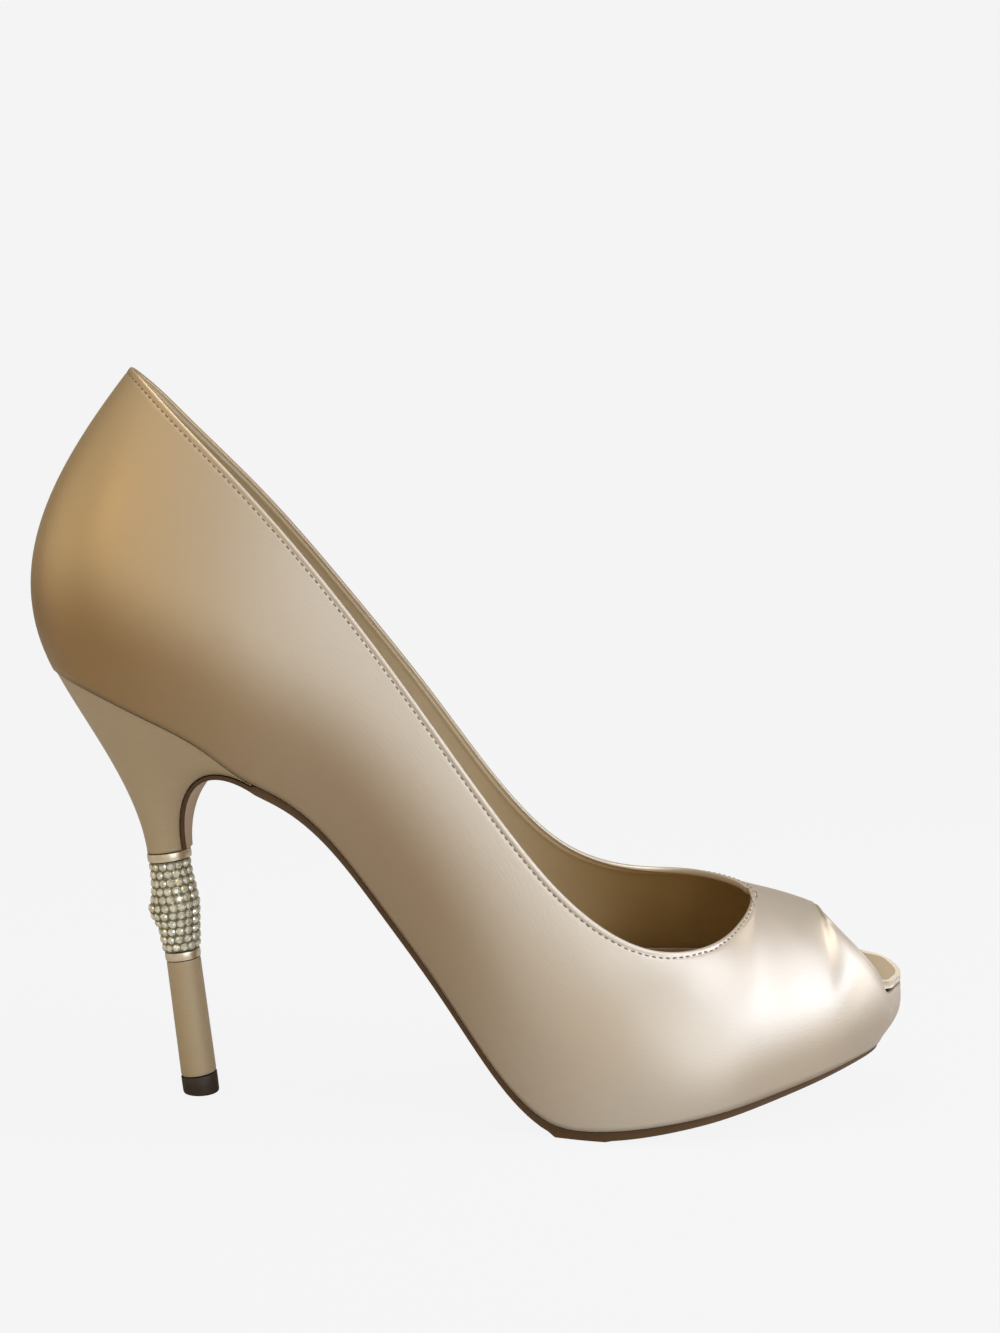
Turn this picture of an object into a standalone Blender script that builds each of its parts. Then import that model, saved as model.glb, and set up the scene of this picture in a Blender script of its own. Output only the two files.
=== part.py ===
"""Peep toe pump for the right foot, with a hidden platform and a covered stiletto heel with a studded sleeve.

The toe points along +X, the outer side of the foot is at -Y, and +Z is up.
The origin is the centre of the heel tip's tread, on the floor.
Sizes are in millimetres and are turned to metres where a mesh is made.
"""

import math

import bmesh
import bpy
import numpy as np

MM = 0.001

# Driving sizes of the last, the upper and the bottom
LENGTH = 212.0
HEEL_SETBACK = 39.6
BALL_WIDTH = 76.0
SEAT_RISE = 103.0
BACK_HEIGHT = 72.0
TOE_SPRING = 12.4
PLATFORM = 22.0
THROAT_RISE = 26.0
WALL = 1.6
OUTSOLE = 2.4
OUTSOLE_TOE = 1.1
BREAST_FLAP = 1.0
INSOLE = 3.4
INSOLE_TOE = 4.8
INSOLE_DISH = 1.6
GAP = 0.3
SOLE_INSET = 0.6
TOE_OVERHANG = 0.1
ROOM = 0.6
SILL_ROOM = 0.1
LEAST_STEEPNESS = 0.4

# Driving sizes of the heel, from the floor up
TIP_HEIGHT = 4.6
STEM_HEIGHT = 28.3
RING_HEIGHT = 1.9
SLEEVE_HEIGHT = 22.0
NECK_SETBACK = 7.3
NECK_DEPTH = 10.2
NECK_WIDTH = 11.2
STEM_TOP_DEPTH = 8.2
STEM_FOOT_DEPTH = 8.5
STEM_WIDTH_RATIO = 1.04
TIP_OVERHANG = 0.1
TIP_RIM = 0.4
RING_OVERHANG = 0.15
NECK_HEIGHT = TIP_HEIGHT + STEM_HEIGHT + 2 * RING_HEIGHT + SLEEVE_HEIGHT + 4 * GAP

# How finely the forms are divided
COLLAR_COLUMNS = 31
CROWDING = 0.4
BRIDGE_COLUMNS = 3
PEEP_COLUMNS = 12
WALL_ROWS = 12
FINER = 4
RIB_STEP = 4.0
RIB_PARTS = 4
END_ROUND = 8.0
END_STEPS = 5
HEEL_ROWS = 10
BREAST_PARTS = 6
ROUND_PARTS = 28

# The line where the upper meets the sole, from heel to toe, as height over the floor.
# along: share of LENGTH from the back. seat: share of SEAT_RISE. spring: share of TOE_SPRING.
PROFILE = (
    (0.024, 1.000, 0.00),
    (0.076, 0.959, 0.00),
    (0.146, 0.895, 0.00),
    (0.214, 0.820, 0.00),
    (0.250, 0.766, 0.00),
    (0.297, 0.713, 0.00),
    (0.344, 0.631, 0.00),
    (0.406, 0.468, 0.00),
    (0.467, 0.297, 0.00),
    (0.505, 0.183, 0.00),
    (0.538, 0.093, 0.00),
    (0.566, 0.037, 0.00),
    (0.590, 0.008, 0.00),
    (0.610, 0.000, 0.00),
    (0.642, 0.000, 0.01),
    (0.684, 0.000, 0.09),
    (0.726, 0.000, 0.21),
    (0.769, 0.000, 0.35),
    (0.816, 0.000, 0.52),
    (0.863, 0.000, 0.69),
    (0.925, 0.000, 0.88),
    (0.980, 0.000, 1.00),
)
FLAT_FROM = 0.592
FLAT_TO = 0.648

# How far the platform lifts the insole over that line. along: share of LENGTH. deck: share of PLATFORM.
DECK = (
    (0.024, 0.00),
    (0.300, 0.01),
    (0.350, 0.06),
    (0.392, 0.17),
    (0.439, 0.38),
    (0.486, 0.62),
    (0.533, 0.88),
    (0.580, 1.04),
    (0.628, 1.05),
    (0.675, 0.98),
    (0.736, 0.87),
    (0.807, 0.74),
    (0.901, 0.61),
    (0.995, 0.53),
)
PLATFORM_START = 0.385

# Toward the toe the insole's edge gets thicker and its top tilts up to the inner side.
TOE_EDGE_FROM = 0.87
TOE_EDGE_TO = 0.97
TOE_EDGE_TILT = 0.06

# One row for each section of the upper, from the heel's back to the toe, on either side.
# foot: where the wall meets the sole. top: where it ends, at the collar, the bridge or the toe opening.
# along: share of LENGTH from the back. out: share of BALL_WIDTH from the long axis.
# quarter, deck, box: height of the top over the foot, in BACK_HEIGHT, PLATFORM and THROAT_RISE.
# dome: 0 for a straight wall, 1 for a quarter round. low, high: swell of the wall, in BALL_WIDTH.
SECTION_COLUMNS = (
    "foot_along", "foot_out", "top_along", "top_out",
    "quarter", "deck", "box", "dome", "low", "high",
)
BACK = (0.024, 0.000, 0.116, 0.000, 1.000, 0.00, 0.000, 0.10, 0.250, 0.125)
OUTER_COLLAR = (
    (0.047, 0.165, 0.130, 0.090, 0.990, 0.00, 0.000, 0.05, 0.200, 0.110),
    (0.108, 0.270, 0.170, 0.175, 0.945, 0.00, 0.000, 0.00, 0.120, 0.070),
    (0.193, 0.309, 0.250, 0.242, 0.822, 0.00, 0.000, 0.00, 0.090, 0.050),
    (0.288, 0.309, 0.354, 0.270, 0.645, 0.00, 0.000, 0.05, 0.065, 0.045),
    (0.382, 0.296, 0.458, 0.305, 0.506, 0.00, 0.000, 0.10, 0.060, 0.045),
    (0.467, 0.329, 0.552, 0.338, 0.361, 0.35, 0.000, 0.20, 0.055, 0.045),
    (0.547, 0.395, 0.627, 0.363, 0.200, 0.70, 0.392, 0.40, 0.050, 0.040),
    (0.627, 0.474, 0.702, 0.355, 0.000, 1.00, 0.669, 0.55, 0.045, 0.030),
    (0.703, 0.500, 0.759, 0.286, 0.000, 0.93, 0.647, 0.60, 0.040, 0.025),
    (0.769, 0.480, 0.803, 0.143, 0.000, 0.80, 0.780, 0.65, 0.040, 0.020),
)
OUTER_THROAT = (0.825, 0.421, 0.823, -0.053, 0.000, 0.70, 0.990, 0.75, 0.040, 0.015)
OUTER_BRIDGE_END = (0.892, 0.316, 0.903, -0.066, 0.000, 0.60, 0.800, 0.80, 0.045, 0.015)
OUTER_PEEP = (
    (0.929, 0.230, 0.921, 0.083, 0.000, 0.585, 0.616, 0.85, 0.048, 0.020),
    (0.957, 0.145, 0.952, 0.118, 0.000, 0.577, 0.335, 0.60, 0.042, 0.025),
    (0.966, 0.105, 0.967, 0.098, 0.000, 0.550, 0.180, 0.30, 0.042, 0.025),
    (0.974, 0.045, 0.978, 0.066, 0.000, 0.530, 0.005, 0.10, 0.045, 0.022),
    (0.981, -0.015, 0.995, -0.007, 0.000, 0.522, -0.005, 0.00, 0.048, 0.020),
)
TOE = (0.984, -0.070, 1.006, -0.092, 0.000, 0.518, 0.000, 0.00, 0.050, 0.020)
INNER_PEEP = (
    (0.929, 0.280, 0.918, 0.200, 0.000, 0.585, 0.570, 0.85, 0.060, 0.025),
    (0.957, 0.235, 0.953, 0.234, 0.000, 0.577, 0.280, 0.60, 0.045, 0.025),
    (0.968, 0.215, 0.970, 0.234, 0.000, 0.550, 0.110, 0.30, 0.045, 0.025),
    (0.977, 0.170, 0.984, 0.208, 0.000, 0.530, 0.010, 0.10, 0.045, 0.022),
    (0.982, 0.125, 0.999, 0.160, 0.000, 0.520, -0.005, 0.00, 0.048, 0.020),
)
INNER_BRIDGE_END = (0.892, 0.355, 0.903, 0.066, 0.000, 0.60, 0.800, 1.20, 0.050, 0.020)
INNER_THROAT = (0.825, 0.454, 0.823, 0.053, 0.000, 0.70, 0.990, 1.25, 0.040, 0.020)
INNER_COLLAR = (
    (0.047, 0.165, 0.130, 0.090, 0.990, 0.00, 0.000, 0.05, 0.200, 0.110),
    (0.108, 0.263, 0.170, 0.175, 0.945, 0.00, 0.000, 0.00, 0.120, 0.070),
    (0.193, 0.296, 0.250, 0.242, 0.825, 0.00, 0.000, 0.00, 0.090, 0.050),
    (0.288, 0.270, 0.354, 0.270, 0.648, 0.00, 0.000, 0.05, 0.070, 0.050),
    (0.382, 0.230, 0.458, 0.305, 0.526, 0.00, 0.000, 0.10, 0.070, 0.050),
    (0.467, 0.250, 0.552, 0.338, 0.396, 0.35, 0.000, 0.20, 0.070, 0.050),
    (0.547, 0.329, 0.618, 0.362, 0.250, 0.70, 0.523, 0.45, 0.060, 0.045),
    (0.627, 0.408, 0.689, 0.359, 0.000, 1.00, 1.060, 0.65, 0.050, 0.040),
    (0.703, 0.474, 0.751, 0.300, 0.000, 0.93, 1.050, 0.80, 0.045, 0.030),
    (0.769, 0.487, 0.800, 0.158, 0.000, 0.80, 1.060, 1.00, 0.040, 0.025),
)

# How the heel's side leaves the seat. corner: 0 at the back of the heel, 1 at the corner of the breast.
# forward, inward, up: the first handle of the curve, in the height from the neck to the back of the seat.
BREAST = 0.264
BREAST_EDGE = 0.4
FLARE_COLUMNS = ("corner", "forward", "inward", "up")
HEEL_FLARE = (
    (0.00, 0.170, 0.000, -0.310),
    (0.30, 0.080, 0.110, -0.260),
    (0.60, -0.040, 0.150, -0.200),
    (0.85, -0.200, 0.130, -0.020),
    (1.00, -0.290, 0.100, 0.150),
)
NECK_HANDLE = 0.37
NECK_SPREAD = 0.08
NECK_FRONT = 0.5
BREAST_TURN = 0.225
BREAST_BULGE = 0.1

# The studded sleeve, from its top down. share: of SLEEVE_HEIGHT. back, front, side: of NECK_DEPTH.
SLEEVE_COLUMNS = ("share", "back", "front", "side")
SLEEVE_FORM = (
    (0.00, 0.495, 0.470, 0.515),
    (0.15, 0.500, 0.480, 0.525),
    (0.33, 0.530, 0.525, 0.555),
    (0.44, 0.590, 0.545, 0.580),
    (0.52, 0.645, 0.550, 0.595),
    (0.60, 0.600, 0.530, 0.575),
    (0.70, 0.510, 0.505, 0.530),
    (0.85, 0.465, 0.470, 0.480),
    (1.00, 0.430, 0.425, 0.445),
)

FINISHES = {
    "satin": ((0.62, 0.50, 0.39), 0.35, 0.0),
    "heel_satin": ((0.50, 0.41, 0.31), 0.40, 0.0),
    "sock_leather": ((0.55, 0.42, 0.24), 0.50, 0.0),
    "sole_leather": ((0.30, 0.19, 0.10), 0.45, 0.0),
    "platform_cover": ((0.55, 0.44, 0.34), 0.50, 0.0),
    "pale_gold": ((0.80, 0.68, 0.50), 0.25, 1.0),
    "crystal_pave": ((0.62, 0.60, 0.54), 0.20, 0.6),
    "tip_rubber": ((0.07, 0.05, 0.03), 0.60, 0.0),
}


def spline(knots, values):
    """A smooth curve through values at knots: a natural cubic, as a function of the knot."""
    knots = np.asarray(knots, float)
    values = np.asarray(values, float)
    flat = values.reshape(len(knots), -1)
    steps = np.diff(knots)
    slopes = np.diff(flat, axis=0) / steps[:, None]
    system = np.eye(len(knots))
    right = np.zeros_like(flat)
    for i in range(1, len(knots) - 1):
        system[i, i - 1 : i + 2] = steps[i - 1], 2 * (steps[i - 1] + steps[i]), steps[i]
        right[i] = 6 * (slopes[i] - slopes[i - 1])
    bend = np.linalg.solve(system, right)

    def at(where):
        where = np.asarray(where, float)
        flat_where = where.ravel()
        i = np.clip(np.searchsorted(knots, flat_where, side="right") - 1, 0, len(steps) - 1)
        h = steps[i][:, None]
        a = (knots[i + 1] - flat_where)[:, None] / h
        b = 1 - a
        cubic = ((a**3 - a) * bend[i] + (b**3 - b) * bend[i + 1]) * h**2 / 6
        found = a * flat[i] + b * flat[i + 1] + cubic
        return found.reshape(where.shape + values.shape[1:])

    return at


class Ring:
    """A closed smooth curve through points, walked from its first point along either side."""

    def __init__(self, points, values=None):
        points = np.asarray(points, float)
        values = points if values is None else np.asarray(values, float)
        gaps = np.linalg.norm(np.roll(points, -1, axis=0) - points, axis=1)
        self.stops = np.concatenate([[0], np.cumsum(gaps)])
        around = self.stops[-1]
        knots = self.stops[:-1]
        self.at = spline(np.concatenate([knots - around, knots, knots + around]), np.concatenate([values] * 3))

    def stops_on(self, inner, count):
        """Distances from the first point to it and the next ones, along the outer or the inner side."""
        stops = self.stops[-1] - self.stops[::-1] if inner else self.stops
        return stops[:count]

    def walk(self, inner, reach):
        """What the curve carries at distances from the first point."""
        return self.at(self.stops[-1] - reach if inner else reach)


def x_of(along):
    """Distance in front of the heel tip of a share of LENGTH from the back."""
    return np.asarray(along) * LENGTH - HEEL_SETBACK


def along_of(x):
    """Share of LENGTH from the back of a distance in front of the heel tip."""
    return (np.asarray(x) + HEEL_SETBACK) / LENGTH


_profile = np.array(PROFILE)
_underside = spline(_profile[:, 0], _profile[:, 1] * SEAT_RISE + _profile[:, 2] * TOE_SPRING)
_deck = spline([row[0] for row in DECK], [row[1] * PLATFORM for row in DECK])


def underside(x):
    """Height over the floor of the outsole's underside, flat where the forefoot rests."""
    along = along_of(x)
    thinner = (OUTSOLE - OUTSOLE_TOE) * np.clip((along - FLAT_TO) / (TOE[0] - FLAT_TO), 0, 1)
    level = np.maximum(_underside(along) + thinner, 0.0)
    return np.where((along > FLAT_FROM) & (along < FLAT_TO), 0.0, level)


def foot_height(x):
    """Height over the floor of the line where the upper meets the sole."""
    return _underside(along_of(x)) + OUTSOLE


def bottom_height(x):
    """Height over the floor of the tops of the outsole and of the heel, a gap under the foot line."""
    return foot_height(x) - GAP


def deck_height(x):
    """Height over the floor of the platform's top, which runs out to the outsole and the heel behind it."""
    return bottom_height(x) + np.maximum(_deck(along_of(x)), 0.0)


class Last:
    """The surface that the upper is shaped on, worked out from the sections."""

    def __init__(self):
        outer = [BACK, *OUTER_COLLAR, OUTER_THROAT, OUTER_BRIDGE_END, *OUTER_PEEP, TOE]
        inner = [*INNER_COLLAR, INNER_THROAT, INNER_BRIDGE_END, *INNER_PEEP]
        self.throat = 1 + len(OUTER_COLLAR)
        self.bridge_end = self.throat + 1
        self.toe = len(outer) - 1
        rows = np.array(outer + inner[::-1])
        side = np.where(np.arange(len(rows)) <= self.toe, -1.0, 1.0)
        column = {name: rows[:, i] for i, name in enumerate(SECTION_COLUMNS)}
        foot_x = x_of(column["foot_along"])
        foot = np.stack([foot_x, side * column["foot_out"] * BALL_WIDTH], 1)
        rise = column["quarter"] * BACK_HEIGHT + column["deck"] * PLATFORM + column["box"] * THROAT_RISE
        top = np.stack(
            [x_of(column["top_along"]), side * column["top_out"] * BALL_WIDTH, foot_height(foot_x) + rise], 1
        )
        shape = np.stack([column["dome"], column["low"] * BALL_WIDTH, column["high"] * BALL_WIDTH], 1)
        inner_bridge_end = len(rows) - self.bridge_end
        inner_throat = len(rows) - self.throat
        self.foot = Ring(foot, np.concatenate([foot, shape], 1))
        self.collar = Ring(np.concatenate([top[: self.throat + 1], top[inner_throat + 1 :]]))
        self.peep = Ring(top[self.bridge_end : inner_bridge_end])
        self.bridge = top[self.throat], top[self.bridge_end]

    def columns(self, inner, finer=1):
        """Where each column of one side starts on the foot line, and the point of the top edge where it ends."""
        stops = self.foot.stops_on(inner, self.toe + 1)
        collar_stops = self.collar.stops_on(inner, self.throat + 1)
        even = np.linspace(0, 1, finer * COLLAR_COLUMNS + 1)
        reach = (even - CROWDING * np.sin(2 * np.pi * even) / (2 * np.pi)) * collar_stops[-1]
        feet = [spline(collar_stops, stops[: self.throat + 1])(reach)]
        tops = [self.collar.walk(inner, reach)]
        share = np.linspace(0, 1, finer * BRIDGE_COLUMNS + 1)[1:-1]
        feet.append(stops[self.throat] * (1 - share) + stops[self.bridge_end] * share)
        tops.append(self.bridge[0] * (1 - share[:, None]) + self.bridge[1] * share[:, None])
        peep_stops = self.peep.stops_on(inner, self.toe - self.bridge_end + 1)
        reach = np.linspace(0, peep_stops[-1], finer * PEEP_COLUMNS + 1)
        feet.append(spline(peep_stops, stops[self.bridge_end :])(reach))
        tops.append(self.peep.walk(inner, reach))
        return np.concatenate(feet), np.concatenate(tops)

    def wall(self, inner, feet, tops, shares):
        """Points of the wall over each foot, at shares of the way up: an array of columns, rows and axes."""
        here = self.foot.walk(inner, feet)
        step = 0.05
        tangent = self.foot.walk(inner, feet + step)[:, :2] - self.foot.walk(inner, feet - step)[:, :2]
        turn = -1.0 if inner else 1.0
        out = turn * np.stack([tangent[:, 1], -tangent[:, 0]], 1)
        out /= np.linalg.norm(out, axis=1)[:, None]
        foot = np.concatenate([here[:, :2], foot_height(here[:, 0])[:, None]], 1)
        chord = tops - foot
        dome, low, high = here[:, 2:].T[..., None]
        t = np.asarray(shares)[None, :]
        first, second, last = 3 * t * (1 - t) ** 2, 3 * t**2 * (1 - t), t**3
        quarter_round = 0.552
        inward = first * (1 - dome) / 3 + second * (2 / 3 - dome * (quarter_round - 1 / 3)) + last
        upward = first * (1 / 3 + dome * (quarter_round - 1 / 3)) + second * (2 + dome) / 3 + last
        swell = first * low + second * high
        plan = foot[:, None, :2] + chord[:, None, :2] * inward[..., None] + out[:, None, :] * swell[..., None]
        height = foot[:, None, 2] + chord[:, None, 2] * upward
        return np.concatenate([plan, height[..., None]], 2)


LAST = Last()


def outline_at(inner, level, inset, sill=None):
    """One side's outline in plan, from back to toe, where the wall passes a level, moved in from its outer face.

    level and sill are functions of x. With a sill, the outline goes out over the wall's top edge where that
    is below the sill.
    """
    spots, slopes, insets = [], [], []
    for points in LAST.wall(inner, *LAST.columns(inner), np.linspace(0, 1, WALL_ROWS + 1)):
        over = points[:, 2] - level(points[:, 0])
        above = np.nonzero(over >= 0)[0]
        row = max(above[0], 1) if len(above) else len(points) - 1
        share = np.clip(over[row - 1] / (over[row - 1] - over[row]), 0, 1)
        goes_over = sill is not None and points[-1, 2] < sill(points[-1, 0]) - SILL_ROOM
        spots.append(points[row - 1] * (1 - share) + points[row] * share)
        slopes.append(points[row] - points[row - 1])
        insets.append(-TOE_OVERHANG if goes_over else inset)
    spots, slopes, insets = np.array(spots), np.array(slopes), np.array(insets)
    along = np.gradient(spots[:, :2], axis=0)
    out = np.stack([along[:, 1], -along[:, 0]], 1) * (-1.0 if inner else 1.0)
    out /= np.linalg.norm(out, axis=1)[:, None]
    outward = (slopes[:, :2] * out).sum(1)
    steepness = np.abs(slopes[:, 2]) / np.hypot(slopes[:, 2], outward)
    return spots[:, :2] - out * (insets / np.clip(steepness, LEAST_STEEPNESS, 1))[:, None]


def stations(start, end, round_start=True, round_end=True):
    """Where the ribs of a flat piece lie along X: on one common grid, and closer together at its round ends."""
    grid = np.arange(math.ceil(start / RIB_STEP), math.floor(end / RIB_STEP) + 1) * RIB_STEP
    close = END_ROUND * (1 - np.cos(np.linspace(0, math.pi / 2, END_STEPS + 1)))
    first = start + close if round_start else np.array([start])
    last = (end - close)[::-1] if round_end else np.array([end])
    room = RIB_STEP / 3
    grid = grid[(grid > first[-1] + room) & (grid < last[0] - room)]
    return np.concatenate([first, grid, last])


def across(outer, inner, x, parts=RIB_PARTS):
    """Places across a piece at x, from its outer edge to its inner edge."""
    ends = []
    for edge in (outer, inner):
        order = np.argsort(edge[:, 0])
        ends.append(np.interp(x, edge[order, 0], edge[order, 1]))
    return np.linspace(ends[0], ends[1], parts + 1)


def place_of(point):
    """A point's place, rounded so that two points that meet count as one."""
    return tuple(round(float(c), 4) for c in point)


def vertex_at(form, made, point):
    """A vertex at the point, the same one each time the same place comes up."""
    key = place_of(point)
    if key not in made:
        made[key] = form.verts.new([float(c) for c in point])
    return made[key]


def fill_face(form, corners):
    """A face over the corners, unless fewer than three of them differ."""
    corners = list(dict.fromkeys(corners))
    if len(corners) > 2:
        form.faces.new(corners)


def fill_sheet(form, made, grid):
    """Faces over a grid of points, row by row."""
    rows = [[vertex_at(form, made, point) for point in row] for row in grid]
    for row, after in zip(rows, rows[1:]):
        for i in range(len(row) - 1):
            fill_face(form, [row[i], row[i + 1], after[i + 1], after[i]])
    return rows


def fill_slab(form, over, under):
    """A closed solid between two grids of the same size."""
    made_over, made_under = {}, {}
    top = fill_sheet(form, made_over, over)
    bottom = fill_sheet(form, made_under, under)
    rim_top = top[0] + [row[-1] for row in top[1:]] + top[-1][-2::-1] + [row[0] for row in top[-2:0:-1]]
    rim_bottom = (
        bottom[0] + [row[-1] for row in bottom[1:]] + bottom[-1][-2::-1] + [row[0] for row in bottom[-2:0:-1]]
    )
    for i in range(len(rim_top)):
        after = (i + 1) % len(rim_top)
        if rim_top[i] is rim_top[after]:
            continue
        fill_face(form, [rim_top[i], rim_top[after], rim_bottom[after], rim_bottom[i]])


def finish_material(name):
    colour, roughness, metallic = FINISHES[name]
    material = bpy.data.materials.get(name) or bpy.data.materials.new(name)
    material.use_nodes = True
    surface = material.node_tree.nodes["Principled BSDF"]
    surface.inputs["Base Color"].default_value = (*colour, 1.0)
    surface.inputs["Roughness"].default_value = roughness
    surface.inputs["Metallic"].default_value = metallic
    return material


def add_object(name, finish, fill, *about):
    """Makes a named object from a function that fills a bmesh in millimetres."""
    form = bmesh.new()
    fill(form, *about)
    bmesh.ops.recalc_face_normals(form, faces=form.faces)
    closed = all(len(edge.link_faces) == 2 for edge in form.edges)
    if closed and form.calc_volume(signed=True) < 0:
        bmesh.ops.reverse_faces(form, faces=form.faces)
    bmesh.ops.scale(form, vec=(MM, MM, MM), verts=form.verts)
    mesh = bpy.data.meshes.new(name)
    form.to_mesh(mesh)
    form.free()
    mesh.shade_smooth()
    mesh.set_sharp_from_angle(angle=math.radians(40))
    mesh.materials.append(finish_material(finish))
    thing = bpy.data.objects.new(name, mesh)
    bpy.context.scene.collection.objects.link(thing)
    return thing


def wall_skins():
    """The outer and the inner face of each side's wall, a wall's thickness apart along smooth normals.

    The normals come from a finer grid. Where the two sides join, they share one normal.
    """
    outer_skins, shared = [], {}
    for inner in (False, True):
        fine = LAST.wall(inner, *LAST.columns(inner, FINER), np.linspace(0, 1, FINER * WALL_ROWS + 1))
        normals = np.cross(np.gradient(fine, axis=0), np.gradient(fine, axis=1))
        normals *= (-1.0 if inner else 1.0) / np.linalg.norm(normals, axis=2)[..., None]
        outer_skins.append(fine[::FINER, ::FINER])
        for point, normal in zip(outer_skins[-1].reshape(-1, 3), normals[::FINER, ::FINER].reshape(-1, 3)):
            shared[place_of(point)] = shared.get(place_of(point), 0) + normal
    skins = []
    for skin in outer_skins:
        normals = np.array([[shared[place_of(point)] for point in column] for column in skin])
        normals /= np.linalg.norm(normals, axis=2)[..., None]
        skins.append((skin, skin - WALL * normals))
    return skins


def fill_upper(form):
    """The upper's two faces, closed along the foot, the collar and the toe opening."""
    made_outer, made_inner = {}, {}
    for outer_skin, inner_skin in wall_skins():
        outer_rows = fill_sheet(form, made_outer, outer_skin)
        inner_rows = fill_sheet(form, made_inner, inner_skin)
        for column in range(len(outer_rows) - 1):
            for row in (0, -1):
                if row == -1 and COLLAR_COLUMNS <= column < COLLAR_COLUMNS + BRIDGE_COLUMNS:
                    continue
                near, far = outer_rows[column][row], outer_rows[column + 1][row]
                fill_face(form, [near, far, inner_rows[column + 1][row], inner_rows[column][row]])


def insole_underside(x):
    return deck_height(x) + GAP


def toe_share(x):
    """0 behind the toe's thick insole edge, 1 in it, and a smooth step between."""
    share = np.clip((along_of(x) - TOE_EDGE_FROM) / (TOE_EDGE_TO - TOE_EDGE_FROM), 0, 1)
    return share * share * (3 - 2 * share)


def insole_top(x):
    return insole_underside(x) + INSOLE + (INSOLE_TOE - INSOLE) * toe_share(x)


def fill_insole(form):
    """The insole follows the seat, the shank and the platform inside the upper, and shows at the toe."""
    inset = WALL + GAP + ROOM
    tops = [outline_at(inner, insole_top, inset, insole_underside) for inner in (False, True)]
    feet = [outline_at(inner, insole_underside, inset, insole_underside) for inner in (False, True)]
    start = max(edge[:, 0].min() for edge in feet + tops) + ROOM
    end = min(edge[:, 0].max() for edge in feet + tops)
    over, under = [], []
    for x in stations(start, end):
        y = across(*tops, x, 2 * RIB_PARTS)
        middle = (y[0] + y[-1]) / 2
        half = max((y[-1] - y[0]) / 2, 1.0)
        rise = INSOLE_DISH * (half / (BALL_WIDTH / 2)) * (((y - middle) / half) ** 2 - 1)
        rise += TOE_EDGE_TILT * toe_share(x) * (y - middle)
        over.append([(x, side, float(insole_top(x)) + high) for side, high in zip(y, rise)])
        under.append([(x, side, float(insole_underside(x))) for side in across(*feet, x, 2 * RIB_PARTS)])
    fill_slab(form, over, under)


def fill_platform(form):
    """The platform fills the upper from the outsole to the insole, and thins out under the waist."""
    inset = WALL + GAP + ROOM
    feet = [outline_at(inner, foot_height, inset) for inner in (False, True)]
    tops = [outline_at(inner, deck_height, inset) for inner in (False, True)]
    end = min(edge[:, 0].max() for edge in feet + tops) - 2 * ROOM
    over, under = [], []
    for x in stations(float(x_of(PLATFORM_START)), end):
        over.append([(x, y, float(deck_height(x))) for y in across(*tops, x)])
        under.append([(x, y, float(foot_height(x))) for y in across(*feet, x)])
    fill_slab(form, over, under)


def bezier(handles, t):
    a, b, c, d = handles
    return a * (1 - t) ** 3 + b * 3 * t * (1 - t) ** 2 + c * 3 * t**2 * (1 - t) + d * t**3


def heel_section(height, back, front, side, turn):
    """A point of the heel's section square to its axis. turn runs from the back at 0 round the outer side."""
    lean = NECK_SETBACK / NECK_HEIGHT
    x, y = -math.cos(turn), -math.sin(turn)
    x *= front if x > 0 else back
    tilt = lean * min(height / TIP_HEIGHT, 1.0)
    return np.array([x - lean * height, y * side, height + x * tilt])


def neck_point(turn):
    """A point of the heel block's lower edge, on its sides."""
    return heel_section(NECK_HEIGHT + GAP, NECK_DEPTH / 2, NECK_DEPTH * NECK_FRONT, NECK_WIDTH / 2, turn)


_flare = spline([row[0] for row in HEEL_FLARE], [row[1:] for row in HEEL_FLARE])


def side_handles(seat, side, corner):
    """The curve of the heel's side from a point of the seat down to the neck."""
    height = SEAT_RISE - NECK_HEIGHT
    forward, inward, up = _flare(corner) * height
    neck = neck_point(-side * corner * math.pi * (1 - BREAST_TURN))
    reach = NECK_HANDLE * height
    lean = NECK_SETBACK / NECK_HEIGHT
    spread = NECK_SPREAD * height * math.sin(corner * math.pi / 2)
    leave = np.array([forward, -side * inward, up])
    arrive = np.array([-reach * lean, side * spread, reach])
    return np.array([seat, seat + leave, neck + arrive, neck])


def heel_seat():
    """The heel's upper edge: its ribs along X and where they end on the outer and the inner side."""
    edges = []
    for inner in (False, True):
        reach = np.linspace(0, LAST.foot.stops_on(inner, LAST.toe + 1)[-1], 400)
        edges.append(LAST.foot.walk(inner, reach)[:, :2])
    start = edges[0][:, 0].min() + SOLE_INSET
    ribs = stations(start, float(x_of(BREAST)), round_end=False)
    sides = []
    for edge in edges:
        order = np.argsort(edge[:, 0])
        y = np.interp(ribs - SOLE_INSET, edge[order, 0], edge[order, 1])
        sides.append(y - np.sign(y) * np.minimum(SOLE_INSET, np.abs(y)))
        sides[-1][0] = 0.0
    return ribs, sides


def heel_sides():
    """The curves down the heel's outer and inner side, from the back to the corners of the breast."""
    ribs, sides = heel_seat()
    found = []
    for y, side in zip(sides, (-1.0, 1.0)):
        edge = np.stack([ribs, y, bottom_height(ribs)], 1)
        corner = np.concatenate([[0], np.cumsum(np.linalg.norm(np.diff(edge, axis=0), axis=1))])
        corner /= corner[-1]
        edge[-1, 2] -= BREAST_EDGE
        found.append([side_handles(seat, side, share) for seat, share in zip(edge, corner)])
    return found


def heel_breast(sides):
    """The curves down the heel's breast, from its outer corner to its inner corner."""
    outer, inner = sides[0][-1], sides[1][-1]
    curves = []
    for share in np.linspace(0, 1, BREAST_PARTS + 1):
        handles = outer * (1 - share) + inner * share
        handles[2:, 0] += BREAST_BULGE * 4 * share * (1 - share)
        curves.append(handles)
    return curves


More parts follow.
